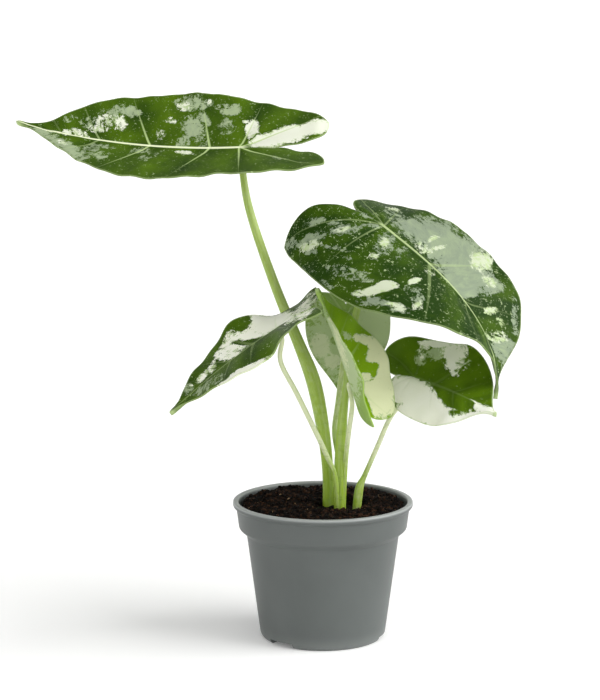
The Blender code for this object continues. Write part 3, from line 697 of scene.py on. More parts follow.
def build_stalk(name, sizes, material):
    """A tapered tube along its route, with a shallow groove down its front.

    Each ring is a circle across the route, turned so that its first point
    is the world's X axis laid flat on the ring. The ring at the top is
    square to the blade and a little wider. The groove is a bell curve round
    the front line, deeper up to the top of the sheath.
    """
    stalk, leaf = STALKS[name], LEAVES[name]
    rings, sides = sizes.rings, sizes.sides
    up = attitude(leaf)[:, 2]
    end = stalk["end_radius"]
    top = np.array(leaf["hub"]) - up * (SOLID_BLADE / 2 + STALK_GAP)
    low = np.array(leaf["hub"]) - up * (SOLID_BLADE / 2 + SOLID_GAP + stalk["rise"] * 0.45)
    x, y = stalk["foot"]
    route = [(x, y, CORM_TOP + 0.3, stalk["route"][0][3])]
    route += list(stalk["route"]) + [(*low, end), (*top, end)]
    line = spline(route, rings)
    for _ in range(10):
        line[1:-1] = (line[:-2] + 2 * line[1:-1] + line[2:]) / 4
    forward = np.gradient(line[:, :3], axis=0)
    forward[0], forward[-1] = (0, 0, 1), up
    forward /= np.linalg.norm(forward, axis=1)[:, None]
    across = np.array((1.0, 0.0, 0.0)) - forward * forward[:, :1]
    across /= np.linalg.norm(across, axis=1)[:, None]
    over = np.cross(forward, across)
    angle = 2 * math.pi * np.arange(sides) / sides
    share = np.linspace(0, 1, rings)
    flare = 1 + 0.22 * ease((share - 0.95) / 0.05)
    front = -math.pi / 2 + stalk.get("seam", 0.0)
    off = np.angle(np.exp(1j * (angle - front)))
    sheath = ease((stalk.get("sheath", 0.0) - line[:, 2] + 4) / 8)
    groove = 1 - (0.05 + 0.17 * sheath[:, None]) * np.exp(-(off / 0.32) ** 2)
    radius = line[:, 3, None] * flare[:, None] * groove
    circle = np.cos(angle)[:, None] * across[:, None] + np.sin(angle)[:, None] * over[:, None]
    points = (line[:, None, :3] + radius[..., None] * circle).reshape(-1, 3)
    points = np.vstack([points, line[0, :3], line[-1, :3]])
    here = np.arange(sides)
    after = (here + 1) % sides
    last = (rings - 1) * sides
    foot = np.stack([after, here, np.full(sides, rings * sides)], -1)
    head = np.stack([last + here, last + after, np.full(sides, rings * sides + 1)], -1)
    faces = list(grid_faces(rings, sides)) + list(foot) + list(head)
    thing = make_mesh("stem_" + name, points, faces)
    thing.data.materials.append(material)
    turn = np.append(np.tile(angle, rings), (0, 0))
    height = points[:, 2] - CORM_TOP
    seed = list(LEAVES).index(name) * 11.0
    carry(thing, "height", height)
    carry(thing, "fibre", np.column_stack([np.cos(turn), np.sin(turn), height * 0.05 + seed]))
    carry(thing, "mottle", np.column_stack([np.cos(turn), np.sin(turn), height * 0.45 + seed]))
    carry(thing, "pale", np.full(len(points), stalk["pale"]))
    carry(thing, "seam", np.append(np.tile(np.exp(-(off / 0.35) ** 2), rings), (0, 0)))
    return thing


# Pot and soil

def turned(name, profile, sides, material):
    """A profile of (radius, height) rows in mm turned about Z."""
    profile = np.asarray(profile, float)
    angle = 2 * math.pi * np.arange(sides) / sides
    ring = np.stack([np.cos(angle), np.sin(angle), np.ones(sides)], -1)
    rows = np.stack([profile[:, 0], profile[:, 0], profile[:, 1]], -1)
    points = (rows[:, None] * ring[None]).reshape(-1, 3)
    faces = list(grid_faces(len(profile), sides))
    first = np.arange(sides)
    last = (len(profile) - 1) * sides
    points = np.vstack([points, (0, 0, profile[0, 1]), (0, 0, profile[-1, 1])])
    total = len(profile) * sides
    faces += list(np.stack([(first + 1) % sides, first, np.full(sides, total)], -1))
    faces += list(np.stack([last + first, last + (first + 1) % sides, np.full(sides, total + 1)], -1))
    thing = make_mesh(name, points, faces)
    thing.data.materials.append(material)
    return thing


def rounded(corners, radius, steps=5):
    """A profile with its corners turned into arcs of about that radius.

    Each arc is a quadratic curve from a point before the corner to one after.
    """
    corners = np.asarray(corners, float)
    rows = [corners[0]]
    for before, corner, after in zip(corners, corners[1:], corners[2:]):
        back, on = before - corner, after - corner
        cut = min(radius, np.linalg.norm(back) * 0.45, np.linalg.norm(on) * 0.45)
        start = corner + back / np.linalg.norm(back) * cut
        stop = corner + on / np.linalg.norm(on) * cut
        t = np.linspace(0, 1, steps)[:, None]
        rows += list((1 - t) ** 2 * start + 2 * t * (1 - t) * corner + t ** 2 * stop)
    rows.append(corners[-1])
    return np.array(rows)


def icosahedron():
    """The 12 points and 20 faces of a unit icosahedron."""
    g = (1 + 5 ** 0.5) / 2
    points = np.array([(-1, g, 0), (1, g, 0), (-1, -g, 0), (1, -g, 0), (0, -1, g), (0, 1, g),
                       (0, -1, -g), (0, 1, -g), (g, 0, -1), (g, 0, 1), (-g, 0, -1), (-g, 0, 1)])
    faces = np.array([(0, 11, 5), (0, 5, 1), (0, 1, 7), (0, 7, 10), (0, 10, 11), (1, 5, 9),
                      (5, 11, 4), (11, 10, 2), (10, 7, 6), (7, 1, 8), (3, 9, 4), (3, 4, 2),
                      (3, 2, 6), (3, 6, 8), (3, 8, 9), (4, 9, 5), (2, 4, 11), (6, 2, 10),
                      (8, 6, 7), (9, 8, 1)])
    return points / np.linalg.norm(points[0]), faces


def build_pot(sizes, material):
    """The pot: its outline of radius and height, rounded at the corners and turned.

    Three channels are cut under the floor from its middle disc outwards,
    each with a drain hole through the floor.
    """
    disc, half_wide, deep = 4.5, 2.7, 0.9
    drain_at, drain_radius = 8.0, 1.3
    high, rim = sizes.height / MM, sizes.rim_radius / MM
    base, wall = sizes.base_radius / MM, sizes.wall / MM
    band_top, band_low, body_top = rim - 0.6, rim - 1.1, rim - 2.5
    band_at, body_at, lip = high - 5.0, high - 6.2, high - 0.9
    corners = [
        (0.5, 0), (base - 0.5, 0), (base, 0.7), (body_top, body_at), (band_low, band_at),
        (band_top, lip - 0.3), (rim, lip), (rim, high), (rim - 0.9, high),
        (rim - 1.0, high - 0.3), (band_low - wall, band_at + 0.3),
        (body_top - wall, body_at - 0.3), (base - wall, 1.6), (0.5, 1.6),
    ]
    pot = turned("pot_shell", rounded(corners, 0.32), sizes.sides, material)
    cutters = []
    reach = base + 2
    for degrees in POT_CHANNELS:
        angle = math.radians(degrees - 90)
        way = np.array((math.cos(angle), math.sin(angle), 0.0))
        side = np.array((-way[1], way[0], 0.0))
        ring = [(disc, -half_wide), (reach, -half_wide), (reach, half_wide), (disc, half_wide)]
        flat = np.array([way * along + side * off for along, off in ring])
        block = np.vstack([flat + (0, 0, -1.0), flat + (0, 0, deep)])
        faces = [(3, 2, 1, 0), (4, 5, 6, 7), (0, 1, 5, 4), (1, 2, 6, 5), (2, 3, 7, 6), (3, 0, 4, 7)]
        cutters.append(make_mesh("channel", block, faces, False))
        bore = turned("bore", [(drain_radius, -1.0), (drain_radius, 2.6)], 32, material)
        bore.data.transform(Matrix.Translation(Vector(way * drain_at * MM)))
        cutters.append(bore)
    for cutter in cutters:
        cut = pot.modifiers.new("cut", "BOOLEAN")
        cut.operation = "DIFFERENCE"
        cut.solver = "EXACT"
        cut.object = cutter
    graph = bpy.context.evaluated_depsgraph_get()
    finished = bpy.data.meshes.new_from_object(pot.evaluated_get(graph))
    pot.modifiers.clear()
    pot.data = finished
    for cutter in cutters:
        bpy.data.objects.remove(cutter, do_unlink=True)
    pot.data.materials.clear()
    pot.data.materials.append(material)
    pot.data.polygons.foreach_set("material_index", np.zeros(len(pot.data.polygons), np.int32))
    pot.data.shade_smooth()
    pot.data.set_sharp_from_angle(angle=math.radians(38))
    return pot


def soil_height(x, y):
    """Height of the soil's face in mm: crossed sine waves, with a hollow round the corm.

    The hollow falls by an eased step from 5.6 mm to 4.3 mm off the corm's axis.
    """
    waves = ((0.55, 0.9, 0.3, 0.16), (-0.7, 0.6, 1.9, 0.13), (1.7, 0.4, 4.0, 0.08),
             (0.3, -1.9, 2.2, 0.08), (3.1, 2.3, 0.7, 0.05), (-2.6, 3.7, 5.1, 0.05))
    hollow_depth = 1.1
    height = np.full_like(x, SOIL_TOP - 0.25)
    for a, b, c, size in waves:
        height = height + size * np.sin(a * x + b * y + c)
    off = np.hypot(x - CORM_AT[0], y - CORM_AT[1])
    return height - hollow_depth * (1 - ease((off - 4.3) / 1.3))


def build_soil(material):
    """The soil body: the pot's inside for its wall, and an uneven face on top.

    The face is rings of points at the height that soil_height gives, sunk a
    little at the wall.
    """
    sides, rings = 160, 70
    low, edge = 1.9, SOIL_EDGE
    angle = 2 * math.pi * np.arange(sides) / sides
    wall = np.array([(1.0, low), (10.75, low), (13.0, 19.2), (14.25, 21.1), (edge, 23.2)])
    share = np.linspace(1, 0, rings, endpoint=False)
    radius = np.concatenate([wall[:, 0], edge * share])
    x = radius[:, None] * np.cos(angle)
    y = radius[:, None] * np.sin(angle)
    top = soil_height(x, y) - 0.12 * ease((radius[:, None] - edge + 1.2) / 1.2)
    z = np.where(np.arange(len(radius))[:, None] < len(wall), 0.0, top)
    z[:len(wall)] += wall[:, 1:]
    points = np.stack([x, y, z], -1).reshape(-1, 3)
    points = np.vstack([points, (0, 0, low), (0, 0, soil_height(np.zeros(1), np.zeros(1))[0])])
    total = len(radius) * sides
    here = np.arange(sides)
    after = (here + 1) % sides
    last = total - sides
    faces = list(grid_faces(len(radius), sides))
    faces += list(np.stack([after, here, np.full(sides, total)], -1))
    faces += list(np.stack([last + here, last + after, np.full(sides, total + 1)], -1))
    thing = make_mesh("soil_bed", points, faces)
    thing.data.materials.append(material)
    carry(thing, "grain_tone", np.full(len(points), 0.25))
    return thing


def build_crumbs(sizes, material):
    """Crumbs on the soil: icosahedra, stretched, turned and jittered, in one mesh.

    Their places are even over the disc: radius as the root of a random
    share, angle random. Crumbs in the clear space round the stalks' crown
    are left out. Most are dark, some red-brown, a few pale.
    """
    crown_radius, pale_from = 4.4, 0.994
    chance = np.random.default_rng(7)
    count = sizes.crumbs
    radius = (SOIL_EDGE - 0.25) * np.sqrt(chance.random(count))
    angle = 2 * math.pi * chance.random(count)
    x, y = radius * np.cos(angle), radius * np.sin(angle)
    keep = np.hypot(x - CORM_AT[0], y - CORM_AT[1]) > crown_radius
    x, y = x[keep], y[keep]
    count = len(x)
    size = (0.10 + 0.30 * chance.random(count) ** 3) * (sizes.crumb / MM / 0.4)
    shape, faces = icosahedron()
    body = shape[None] * (1 + 0.5 * (chance.random((count, 12, 1)) - 0.5))
    body = body * (0.6 + 0.9 * chance.random((count, 1, 3)))
    spin = 2 * math.pi * chance.random(count)
    c, s = np.cos(spin)[:, None], np.sin(spin)[:, None]
    turned_x = c * body[..., 0] - s * body[..., 1]
    turned_y = s * body[..., 0] + c * body[..., 1]
    body = np.stack([turned_x, turned_y, body[..., 2] * 0.75], -1) * size[:, None, None]
    sunk = 0.12 * ease((np.hypot(x, y) - 13.6) / 1.2)
    centre = np.stack([x, y, soil_height(x, y) - sunk + size * 0.25], -1)
    points = (body + centre[:, None]).reshape(-1, 3)
    faces = (faces[None] + 12 * np.arange(count)[:, None, None]).reshape(-1, 3)
    thing = make_mesh("soil_crumbs", points, faces, False)
    thing.data.materials.append(material)
    tone = chance.random(count) ** 2.2
    tone = np.where(chance.random(count) > pale_from, 1.6, tone)
    carry(thing, "grain_tone", np.repeat(tone, 12))
    return thing


# Finishes

def centred(put, value, gain):
    """A 0 to 1 value moved to straddle 0, times a gain."""
    return put("Math", put("Math", value, 0.5, **LESS), gain, **TIMES)


def sector_mask(put, field, plain, noise, gain, soft):
    """Where noise + gain (field - plain - 0.5) passes 0.5, and never far outside the field."""
    net = put("Math", field, plain, **LESS)
    value = put("Math", noise, centred(put, net, gain))
    barred = put("Math", put("MapRange", net, 0.26, 0.08, **SMOOTH), 0.3, **TIMES)
    return put("MapRange", put("Math", value, barred, **LESS), 0.5 - soft, 0.5 + soft, **SMOOTH)


def leaf_veins(put, at):
    """Shares from 0 to 1: side vein, midrib, margin line, and how far between two veins.

    A side vein is where the vein number is near a whole one, in mm against
    a width that tapers outwards, and it fades towards the leaf's tip.
    """
    number = put("Math", at["vein_number"], 0.5)
    signed = put("Math", put("Math", number, operation="FRACT"), 0.5, **LESS)
    nearest = put("Math", signed, operation="ABSOLUTE")
    away = put("Math", nearest, at["vein_step"], **TIMES)
    taper = put("MapRange", at["reach"], 1.0, 0.0, **SMOOTH)
    width = put("Math", put("Math", taper, 0.16, **TIMES), 0.05)
    side_vein = put("MapRange", put("Math", away, width, **OVER), 1.4, 0.5, **SMOOTH)
    tipwards = put("MapRange", at["ahead"], 0.85, 0.35, **SMOOTH)
    side_vein = put("Math", side_vein, put("Math", taper, 0.15), **TIMES)
    side_vein = put("Math", side_vein, put("Math", tipwards, 0.15), **TIMES)
    slender = put("MapRange", at["ahead"], 1.1, -0.1, **SMOOTH)
    rib_width = put("Math", put("Math", slender, 0.30, **TIMES), 0.10)
    rib = put("MapRange", put("Math", at["across"], rib_width, **OVER), 1.3, 0.7, **SMOOTH)
    rib = put("Math", rib, put("MapRange", at["ahead"], -0.05, 0.0, **SMOOTH), **TIMES)
    margin = put("MapRange", at["to_edge"], 0.30, 0.10, **SMOOTH)
    between = put("MapRange", nearest, 0.0, 0.5, **SMOOTH)
    return side_vein, rib, margin, between


def leaf_finish(name, looks, under):
    """Leaf skin: waxy green with side veins, pale margin, mint and cream sectors.

    To the eye: a deep green that is a little lighter between the veins
    (painted light on the pillowed tissue, painted shade in the vein
    grooves), pale veins, and ragged blotches with fine flecks round them.
    A blotch is where noise plus a share of the sector's strength passes a
    level. The underside is the same, greyer and duller. Place and grain are
    in mm on the flat leaf, so a scale of 0.90 gives islands of about 1 mm.
    """
    material, shader, put = new_material(name)
    place = put("Attribute", out="Vector", attribute_name="place")
    grain = put("Attribute", out="Vector", attribute_name="grain")
    carried = ("across", "ahead", "reach", "to_edge", "vein_number", "vein_step") + SHADES + KINDS
    at = {key: put("Attribute", out="Fac", attribute_name=key) for key in carried}
    blotch = put("TexNoise", Vector=place, Scale=0.90, Detail=10.0, Roughness=0.82, Distortion=0.5)
    streak = put("TexNoise", Vector=grain, Scale=1.20, Detail=9.0, Roughness=0.78, Distortion=0.4)
    speck = put("TexNoise", Vector=place, Scale=2.2, Detail=4.0, Roughness=0.70, Distortion=0.5)
    slow = put("TexNoise", Vector=place, Scale=0.16, Detail=2.0, Roughness=0.5)
    cells = put("TexNoise", Vector=place, Scale=6.0, Detail=2.0, Roughness=0.5)
    side_vein, rib, margin, between = leaf_veins(put, at)

    # Green: deeper along the sunken veins and lighter on the pillowed tissue between them, as painted shade
    # and painted light of the quilted surface, with a slow drift and faint lengthwise streaks.
    # The leaf's tone is partly painted backlight on the high, young and back leaves.
    tone = put("Math", at["tone"], centred(put, slow, 0.40))
    tone = put("Math", tone, centred(put, streak, 0.30))
    # Painted shade in the vein grooves and painted light on the tissue between them.
    tone = put("Math", tone, centred(put, between, 0.12))
    green = put("Mix", tone, looks.deep_green, looks.fresh_green, **COLOUR)

    # Mint and cream sectors with ragged outlines, then scattered flecks.
    mint = sector_mask(put, at["mint"], at["green"], put("Mix", 0.35, blotch, streak), 0.13, 0.010)
    cream = sector_mask(put, at["cream"], at["green"], put("Mix", 0.25, blotch, streak), 0.16, 0.008)
    wider = put("Math", at["cream"], 0.10)
    border = sector_mask(put, wider, at["green"], streak, 0.20, 0.015)
    border = put("Math", border, put("MapRange", at["cream"], 0.25, 0.5, **SMOOTH), **TIMES)
    fleck = put("Math", speck, centred(put, blotch, 0.9))
    fleck = put("Math", fleck, put("Math", at["flecks"], 0.30, **TIMES))
    fleck = put("Math", put("MapRange", fleck, 0.700, 0.718, **SMOOTH), 0.75, **TIMES)
    bright = put("Math", put("Math", at["tone"], 2.2, **TIMES), centred(put, streak, 1.4))
    # Grey mint, on the leaves of low tone and mostly the broad one, is partly painted sheen.
    mint_shade = put("Mix", bright, looks.grey_mint_and_sheen, looks.mint, **COLOUR)
    warm = put("MapRange", at["tone"], 0.55, 0.85, **SMOOTH)
    creams = ((slow, looks.ivory), (warm, looks.yellow_cream), (at["dull"], looks.pale_mint))
    cream_shade = layered(put, looks.cream, creams)

    # Veins and margin over all of it, and the pale green drip tip.
    line = put("Math", side_vein, at["vein_show"], **TIMES)
    edge_line = put("Math", margin, 0.40, **TIMES)
    shown_rib = put("Math", rib, at["rib_show"], **TIMES)
    plain_rib = put("MapRange", at["rib_show"], 0.5, 1.0, **SMOOTH)
    rib_shade = put("Mix", plain_rib, looks.vein, looks.midrib, **COLOUR)
    drip = put("Math", put("MapRange", at["ahead"], 0.95, 0.99, **SMOOTH), 0.8, **TIMES)
    layers = [
        (fleck, looks.mint), (mint, mint_shade), (border, looks.mint), (cream, cream_shade),
        (line, looks.vein), (edge_line, looks.margin_colour), (shown_rib, rib_shade),
        (drip, looks.margin_colour),
    ]
    if under:
        layers.append((0.30, looks.underside))
    skin = layered(put, green, layers)

    # Relief: veins, the skin's fine cells, and the lengthwise streaks.
    height = put("Math", put("Math", side_vein, -0.4, **TIMES), put("Math", cells, 0.30, **TIMES))
    height = put("Math", height, put("Math", streak, 0.8, **TIMES))
    finish_shader(shader, {
        "Base Color": skin,
        "Normal": put("Bump", Height=height, Strength=0.6, Distance=0.00015),
        "Roughness": 0.60 if under else 0.45,
        "Specular IOR Level": 0.04 if under else 0.06,
    })
    return material


def stalk_finish(looks):
    """Stalk skin: smooth juicy green, brighter low down, with long pale fibres.

    To the eye: fine lengthwise streaks, short darker dashes, faint rings of
    wrinkles on the lower part, and pale, almost white-green skin on the
    variegated stalks. Fibre and mottle run round the stalk and up it, the
    mottle nine times as fast. Heights are in mm over the corm.
    """
    material, shader, put = new_material("stalk_skin")
    along = put("Attribute", out="Vector", attribute_name="fibre")
    around = put("Attribute", out="Vector", attribute_name="mottle")
    height, paleness, seam = (
        put("Attribute", out="Fac", attribute_name=key) for key in ("height", "pale", "seam"))
    fibre = put("TexNoise", Vector=along, Scale=7.0, Detail=4.0, Roughness=0.6)
    mottle = put("TexNoise", Vector=around, Scale=1.6, Detail=5.0, Roughness=0.65)
    squashed = put("Mapping", Vector=around, Scale=(0.35, 0.35, 3.2))
    ring = put("TexNoise", Vector=squashed, Scale=1.0, Detail=3.0, Roughness=0.6)
    wrinkle = put("MapRange", ring, 0.56, 0.64, **SMOOTH)
    wrinkle = put("Math", wrinkle, put("MapRange", height, 30.0, 12.0, **SMOOTH), **TIMES)
    up = put("MapRange", height, 4.0, 38.0, **SMOOTH)
    green = put("Mix", up, looks.low_green, looks.high_green, **COLOUR)
    paler_up = put("Math", put("MapRange", height, 6.0, 17.0, **SMOOTH), 0.25)
    pale = put("Math", put("Math", paleness, paler_up, **TIMES), centred(put, mottle, 1.0))
    skin = layered(put, green, (
        (put("MapRange", pale, 0.05, 0.85, **SMOOTH), looks.pale),
        (put("Math", put("MapRange", mottle, 0.60, 0.68, **SMOOTH), 0.35, **TIMES), looks.dash),
        (put("Math", put("MapRange", fibre, 0.42, 0.66, **SMOOTH), 0.14, **TIMES), looks.pale),
        (put("Math", seam, 0.18, **TIMES), looks.pale),
        (put("Math", wrinkle, 0.22, **TIMES), looks.dash),
    ))
    lifted = put("Math", fibre, wrinkle, **LESS)
    finish_shader(shader, {
        "Base Color": skin,
        "Normal": put("Bump", Height=lifted, Strength=0.5, Distance=0.00010),
        "Roughness": 0.42,
        "Subsurface Weight": 0.15,
        "Subsurface Radius": (0.0008, 0.0010, 0.0003),
        "Subsurface Scale": 1.0,
    })
    return material


def pot_finish(looks):
    """Moulded plastic: an even grey with a faint green cast and a satin surface.

    To the eye: a soft mottle, fine moulding grain, faint vertical flow
    marks, a much lighter band round the top of the lip that is a painted
    highlight, and a little pale dust near the foot.
    """
    material, shader, put = new_material("moulded_grey_plastic")
    where = put("TexCoord", out="Object")
    height = put("SeparateXYZ", where, out="Z")
    cloud = put("TexNoise", Vector=where, Scale=90.0, Detail=4.0)
    tall = put("Mapping", Vector=where, Scale=(900.0, 900.0, 25.0))
    flow = put("TexNoise", Vector=tall, Scale=1.0, Detail=2.0)
    grain = put("TexNoise", Vector=where, Scale=5200.0, Detail=3.0, Roughness=0.6)
    skin = layered(put, looks.grey, (
        (put("MapRange", cloud, 0.3, 0.7, **SMOOTH), looks.grey_light),
        (put("Math", put("MapRange", flow, 0.45, 0.75, **SMOOTH), 0.12, **TIMES), looks.grey_light),
        # Painted highlight: a light band round the top of the lip. The next layer is pale dust near the
        # foot.
        (put("Math", put("MapRange", height, 0.0250, 0.0255, **SMOOTH), 0.80, **TIMES), looks.rim),
        (put("Math", put("MapRange", height, 0.0030, 0.0, **SMOOTH), 0.18, **TIMES), looks.rim),
    ))
    finish_shader(shader, {
        "Base Color": skin,
        "Normal": put("Bump", Height=grain, Strength=0.30, Distance=0.00003),
        "Roughness": put("MapRange", cloud, 0.0, 1.0, 0.42, 0.52),
    })
    return material


def soil_finish(looks):
    """Damp peat: near black, with red-brown grains and a few pale flecks.

    To the eye: each crumb has its own shade; the bed between them is the
    darkest, broken up by grains under half a millimetre.
    """
    material, shader, put = new_material("damp_peat")
    where = put("TexCoord", out="Object")
    tone = put("Attribute", out="Fac", attribute_name="grain_tone")
    fine = put("TexNoise", Vector=where, Scale=2600.0, Detail=5.0)
    patch = put("TexNoise", Vector=where, Scale=260.0, Detail=3.0)
    cell = put("TexVoronoi", Vector=where, Scale=2200.0)
    value = put("Math", tone, put("Math", fine, 0.55, **LESS))
    value = put("Math", value, centred(put, patch, 0.9))
    skin = layered(put, looks.peat, (
        (put("MapRange", value, 0.05, 0.95, **SMOOTH), looks.bark),
        (put("MapRange", value, 1.15, 1.45, **SMOOTH), looks.speck),
    ))
    finish_shader(shader, {
        "Base Color": skin,
        "Normal": put("Bump", Height=put("Math", cell, fine), Strength=0.9, Distance=0.00020),
        "Roughness": 0.85,
        "Specular IOR Level": 0.10,
    })
    return material


def corm_finish(looks):
    """Corm: a fibrous brown skin with rings of old leaf scars."""
    material, shader, put = new_material("fibrous_corm")
    where = put("TexCoord", out="Object")
    flat = put("Mapping", Vector=where, Scale=(200.0, 200.0, 1600.0))
    rings = put("TexNoise", Vector=flat, Scale=1.0, Detail=4.0)
    fibre = put("TexNoise", Vector=where, Scale=1500.0, Detail=5.0)
    skin = layered(put, looks.peat, (
        (put("MapRange", rings, 0.35, 0.65, **SMOOTH), looks.bark),
        (put("MapRange", fibre, 0.55, 0.75, **SMOOTH), looks.peat),
    ))
    height = put("Math", rings, put("Math", fibre, 0.6, **TIMES))
    finish_shader(shader, {
        "Base Color": skin,
        "Normal": put("Bump", Height=height, Strength=0.8, Distance=0.00025),
        "Roughness": 0.8,
    })
    return material


def studio_white():
    """Matt white paper for the floor and its wall, which gives off a little light."""
    material, shader, _ = new_material("studio_white")
    finish_shader(shader, {
        "Base Color": linear("#FBFBFA"),
        "Emission Color": (1, 1, 1, 1),
        "Emission Strength": 0.12,
        "Roughness": 0.9,
        "Specular IOR Level": 0.1,
    })
    return material


# Settings, operators and panel

def length(name, description, default):
    """A length property, in metres."""
    return FloatProperty(name=name, description=description, default=default, min=0.0,
                         subtype="DISTANCE", unit="LENGTH")


def colour(name, description, hexadecimal):
    """A colour property. Its numbers are the hex colour's, made linear."""
    return FloatVectorProperty(name=name, description=description, subtype="COLOR", size=4,
                               min=0.0, max=1.0, default=linear(hexadecimal))


class BladeSettings(bpy.types.PropertyGroup):
    middle: length("Thickness at the midrib", "Blade thickness at the hub", 0.00050)
    margin: length("Thickness at the margin", "Blade thickness at the outline", 0.00026)
    keel: length("Midrib keel", "How far the midrib stands out below the blade", 0.00022)
    rings: IntProperty(name="Rings", description="Rings of points from hub to margin",
                       default=48, min=12, max=90)
    deep_green: colour("Deep green", "Darkest leaf green", "#213A0A")
    fresh_green: colour("Fresh green", "Lightest leaf green", "#80A812")
    mint: colour("Mint", "Half variegated tissue", "#B4C692")
    # Partly painted sheen: this grey also stands for the sheen over the broad leaf's left half.
    grey_mint_and_sheen: colour("Grey mint", "Half variegated tissue, duller", "#84917A")
    cream: colour("Cream", "Tissue without green", "#FAFAF3")
    pale_mint: colour("Pale mint", "Cream dulled by a little green", "#BAC4A6")
    yellow_cream: colour("Yellow cream", "Tissue without green on the youngest leaves", "#DDE2B6")
    ivory: colour("Ivory", "Tissue without green, warmer", "#E8EBD2")
    vein: colour("Side veins", "Pale green side veins", "#B9CF8C")
    midrib: colour("Midrib", "Midrib", "#E9F1C8")
    margin_colour: colour("Margin line", "Thin line at the margin", "#B4C98A")
    underside: colour("Underside", "Grey cast of the lower face", "#A9B795")


class StalkSettings(bpy.types.PropertyGroup):
    rings: IntProperty(name="Rings", description="Rings of points along a stalk",
                       default=110, min=20, max=300)
    sides: IntProperty(name="Sides", description="Points round a stalk", default=28, min=8, max=64)
    low_green: colour("Low green", "Stalk green near the soil", "#96B61C")
    high_green: colour("High green", "Stalk green under the blade", "#94AE40")
    pale: colour("Pale", "Pale skin of variegated stalks", "#D6DDB4")
    dash: colour("Dashes", "Short dark dashes", "#6E9128")


class PotSettings(bpy.types.PropertyGroup):
    height: length("Height", "Height of the pot", 0.0256)
    rim_radius: length("Rim radius", "Outside radius of the lip", 0.0166)
    base_radius: length("Base radius", "Radius of the foot", 0.0116)
    wall: length("Wall", "Wall thickness", 0.0009)
    sides: IntProperty(name="Sides", description="Points round the pot", default=180, min=24, max=360)
    grey: colour("Grey", "Plastic", "#505553")
    grey_light: colour("Light grey", "Plastic in the mottle's light parts", "#565B59")
    # Painted highlight colour for the top of the lip, also used for pale dust near the foot.
    rim: colour("Rim", "Rubbed lip", "#A3A7A5")


class SoilSettings(bpy.types.PropertyGroup):
    crumbs: IntProperty(name="Crumbs", description="Loose crumbs on the soil", default=5200, min=0, max=9000)
    crumb: length("Crumb size", "Largest crumb radius", 0.0004)
    peat: colour("Peat", "Darkest soil", "#0A0705")
    bark: colour("Bark", "Red-brown grains", "#3B2618")
    speck: colour("Specks", "Pale grains", "#9C8264")


class StageSettings(bpy.types.PropertyGroup):
    key: FloatProperty(name="Key light", description="Strength of the right light", default=2.8, min=0.0)
    fill: FloatProperty(name="Fill light", description="Strength of the front light", default=1.15, min=0.0)
    sky: FloatProperty(name="Sky", description="Strength of the white surroundings", default=0.42, min=0.0)


class AROID_OT_blades(bpy.types.Operator):
    """Makes the six leaf blades"""
    bl_idname = "aroid.blades"
    bl_label = "Leaf blades"

    def execute(self, context):
        looks = context.scene.aroid_blades
        upper = leaf_finish("leaf_upper", looks, False)
        under = leaf_finish("leaf_under", looks, True)
        for name in LEAVES:
            blade = build_blade(name, looks, upper, under)
            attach(blade, "root")
            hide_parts(name + "_blade")
        return {"FINISHED"}


class AROID_OT_stalks(bpy.types.Operator):
    """Makes the stalk of each leaf"""
    bl_idname = "aroid.stalks"
    bl_label = "Stalks"

    def execute(self, context):
        looks = context.scene.aroid_stalks
        material = stalk_finish(looks)
        for name in LEAVES:
            stalk = build_stalk(name, looks, material)
            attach(stalk, "root")
            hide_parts(name + "_stalk")
        return {"FINISHED"}


class AROID_OT_pot(bpy.types.Operator):
    """Makes the pot"""
    bl_idname = "aroid.pot"
    bl_label = "Pot"

    def execute(self, context):
        looks = context.scene.aroid_pot
        pot = build_pot(looks, pot_finish(looks))
        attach(pot, "root")
        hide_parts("pot")
        return {"FINISHED"}


class AROID_OT_soil(bpy.types.Operator):
    """Makes the soil with its crumbs, and finishes the corm"""
    bl_idname = "aroid.soil"
    bl_label = "Soil and corm"

    def execute(self, context):
        looks = context.scene.aroid_soil
        material = soil_finish(looks)
        bed = build_soil(material)
        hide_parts("soil")
        for piece in (bed, build_crumbs(looks, material)):
            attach(piece, "root")
        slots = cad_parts["corm"].material_slots
        if not slots:
            raise RuntimeError("the corm has no material slot")
        finish = corm_finish(looks)
        for each in slots:
            each.material = finish
        return {"FINISHED"}


class AROID_OT_stage(bpy.types.Operator):
    """Makes the floor, the lights and the camera"""
    bl_idname = "aroid.stage"
    bl_label = "Stage"

    def execute(self, context):
        build_stage(context.scene.aroid_stage)
        # A filmic transform would grey the white floor and wash out the deep greens.
        context.scene.view_settings.view_transform = "Standard"
        return {"FINISHED"}


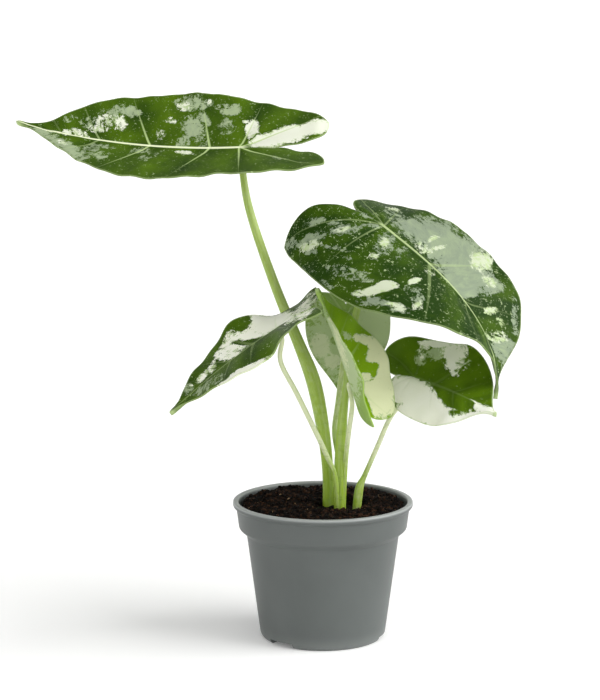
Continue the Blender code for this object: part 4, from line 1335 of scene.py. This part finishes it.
def build_stage(light):
    """A round floor that curves up into a low wall, two broad, distant lights and the camera.

    The floor is a profile turned round the middle: flat out to its radius,
    then a quarter of an ellipse up to the wall's rim. The camera's place
    and pitch are those of the photograph.
    """
    flat_radius, wall_out, wall_high, sides = 1700, 600, 600, 96
    turn = np.linspace(0, math.pi / 2, 20)
    out = flat_radius + wall_out * np.sin(turn)
    high = wall_high - wall_high * np.cos(turn)
    angle = 2 * math.pi * np.arange(sides) / sides
    x, y = out[:, None] * np.cos(angle), out[:, None] * np.sin(angle)
    points = np.stack([x, y, np.broadcast_to(high[:, None], x.shape)], -1).reshape(-1, 3)
    points = np.vstack([points, (0.0, 0.0, 0.0)])
    here = np.arange(sides)
    middle = np.stack([here, (here + 1) % sides, np.full(sides, len(points) - 1)], -1)
    faces = list(grid_faces(len(out), sides)[:, ::-1]) + list(middle)
    floor = make_mesh("studio_backdrop", points, faces)
    floor.data.materials.append(studio_white())

    world = bpy.data.worlds.new("soft_white")
    world.use_nodes = True
    backing = world.node_tree.nodes["Background"]
    backing.inputs["Color"].default_value = (1, 1, 1, 1)
    backing.inputs["Strength"].default_value = light.sky
    bpy.context.scene.world = world

    # Each light: name, strength, the way to it, how many degrees wide it looks.
    rigs = (("key", light.key, (0.83, -0.18, 0.53), 50), ("fill", light.fill, (0.30, -0.85, 0.43), 90))
    for name, power, where, spread in rigs:
        lamp = bpy.data.lights.new(name, "SUN")
        lamp.energy = power
        lamp.angle = math.radians(spread)
        thing = bpy.data.objects.new(name, lamp)
        thing.location = where
        thing.rotation_euler = Vector(where).to_track_quat("Z", "Y").to_euler()
        bpy.context.scene.collection.objects.link(thing)

    lens = bpy.data.cameras.new("camera")
    lens.sensor_fit = "VERTICAL"
    lens.sensor_height = 36.0
    lens.lens = 113.14
    lens.clip_start = 0.01
    lens.clip_end = 20.0
    camera = bpy.data.objects.new("camera", lens)
    camera.location = (-0.00423, -0.39695, 0.11699)
    camera.rotation_euler = (math.radians(80.93), 0.0, 0.0)
    bpy.context.scene.collection.objects.link(camera)
    bpy.context.scene.camera = camera


class AROID_PT_panel(bpy.types.Panel):
    """Lists the pieces of the plant and their settings"""
    bl_idname = "AROID_PT_panel"
    bl_label = "Potted aroid"
    bl_space_type = "VIEW_3D"
    bl_region_type = "UI"
    bl_category = "Aroid"

    def draw(self, context):
        layout = self.layout
        for operator, group in STEPS:
            layout.operator(operator)
            settings = getattr(context.scene, group)
            for name in settings.bl_rna.properties.keys():
                if name not in ("rna_type", "name"):
                    layout.prop(settings, name)


STEPS = (
    ("aroid.pot", "aroid_pot"),
    ("aroid.soil", "aroid_soil"),
    ("aroid.stalks", "aroid_stalks"),
    ("aroid.blades", "aroid_blades"),
    ("aroid.stage", "aroid_stage"),
)
GROUPS = {
    "aroid_pot": PotSettings,
    "aroid_soil": SoilSettings,
    "aroid_stalks": StalkSettings,
    "aroid_blades": BladeSettings,
    "aroid_stage": StageSettings,
}
OTHER_CLASSES = (
    AROID_OT_pot, AROID_OT_soil, AROID_OT_stalks, AROID_OT_blades, AROID_OT_stage, AROID_PT_panel,
)


def register():
    for group in GROUPS.values():
        bpy.utils.register_class(group)
    for each in OTHER_CLASSES:
        bpy.utils.register_class(each)
    for name, group in GROUPS.items():
        setattr(bpy.types.Scene, name, PointerProperty(type=group))


def unregister():
    for name in GROUPS:
        delattr(bpy.types.Scene, name)
    for each in reversed(OTHER_CLASSES):
        bpy.utils.unregister_class(each)
    for group in reversed(GROUPS.values()):
        bpy.utils.unregister_class(group)


def main():
    register()
    bpy.ops.aroid.pot()
    bpy.ops.aroid.soil()
    bpy.ops.aroid.stalks()
    bpy.ops.aroid.blades()
    bpy.ops.aroid.stage()


if __name__ == "__main__":
    main()
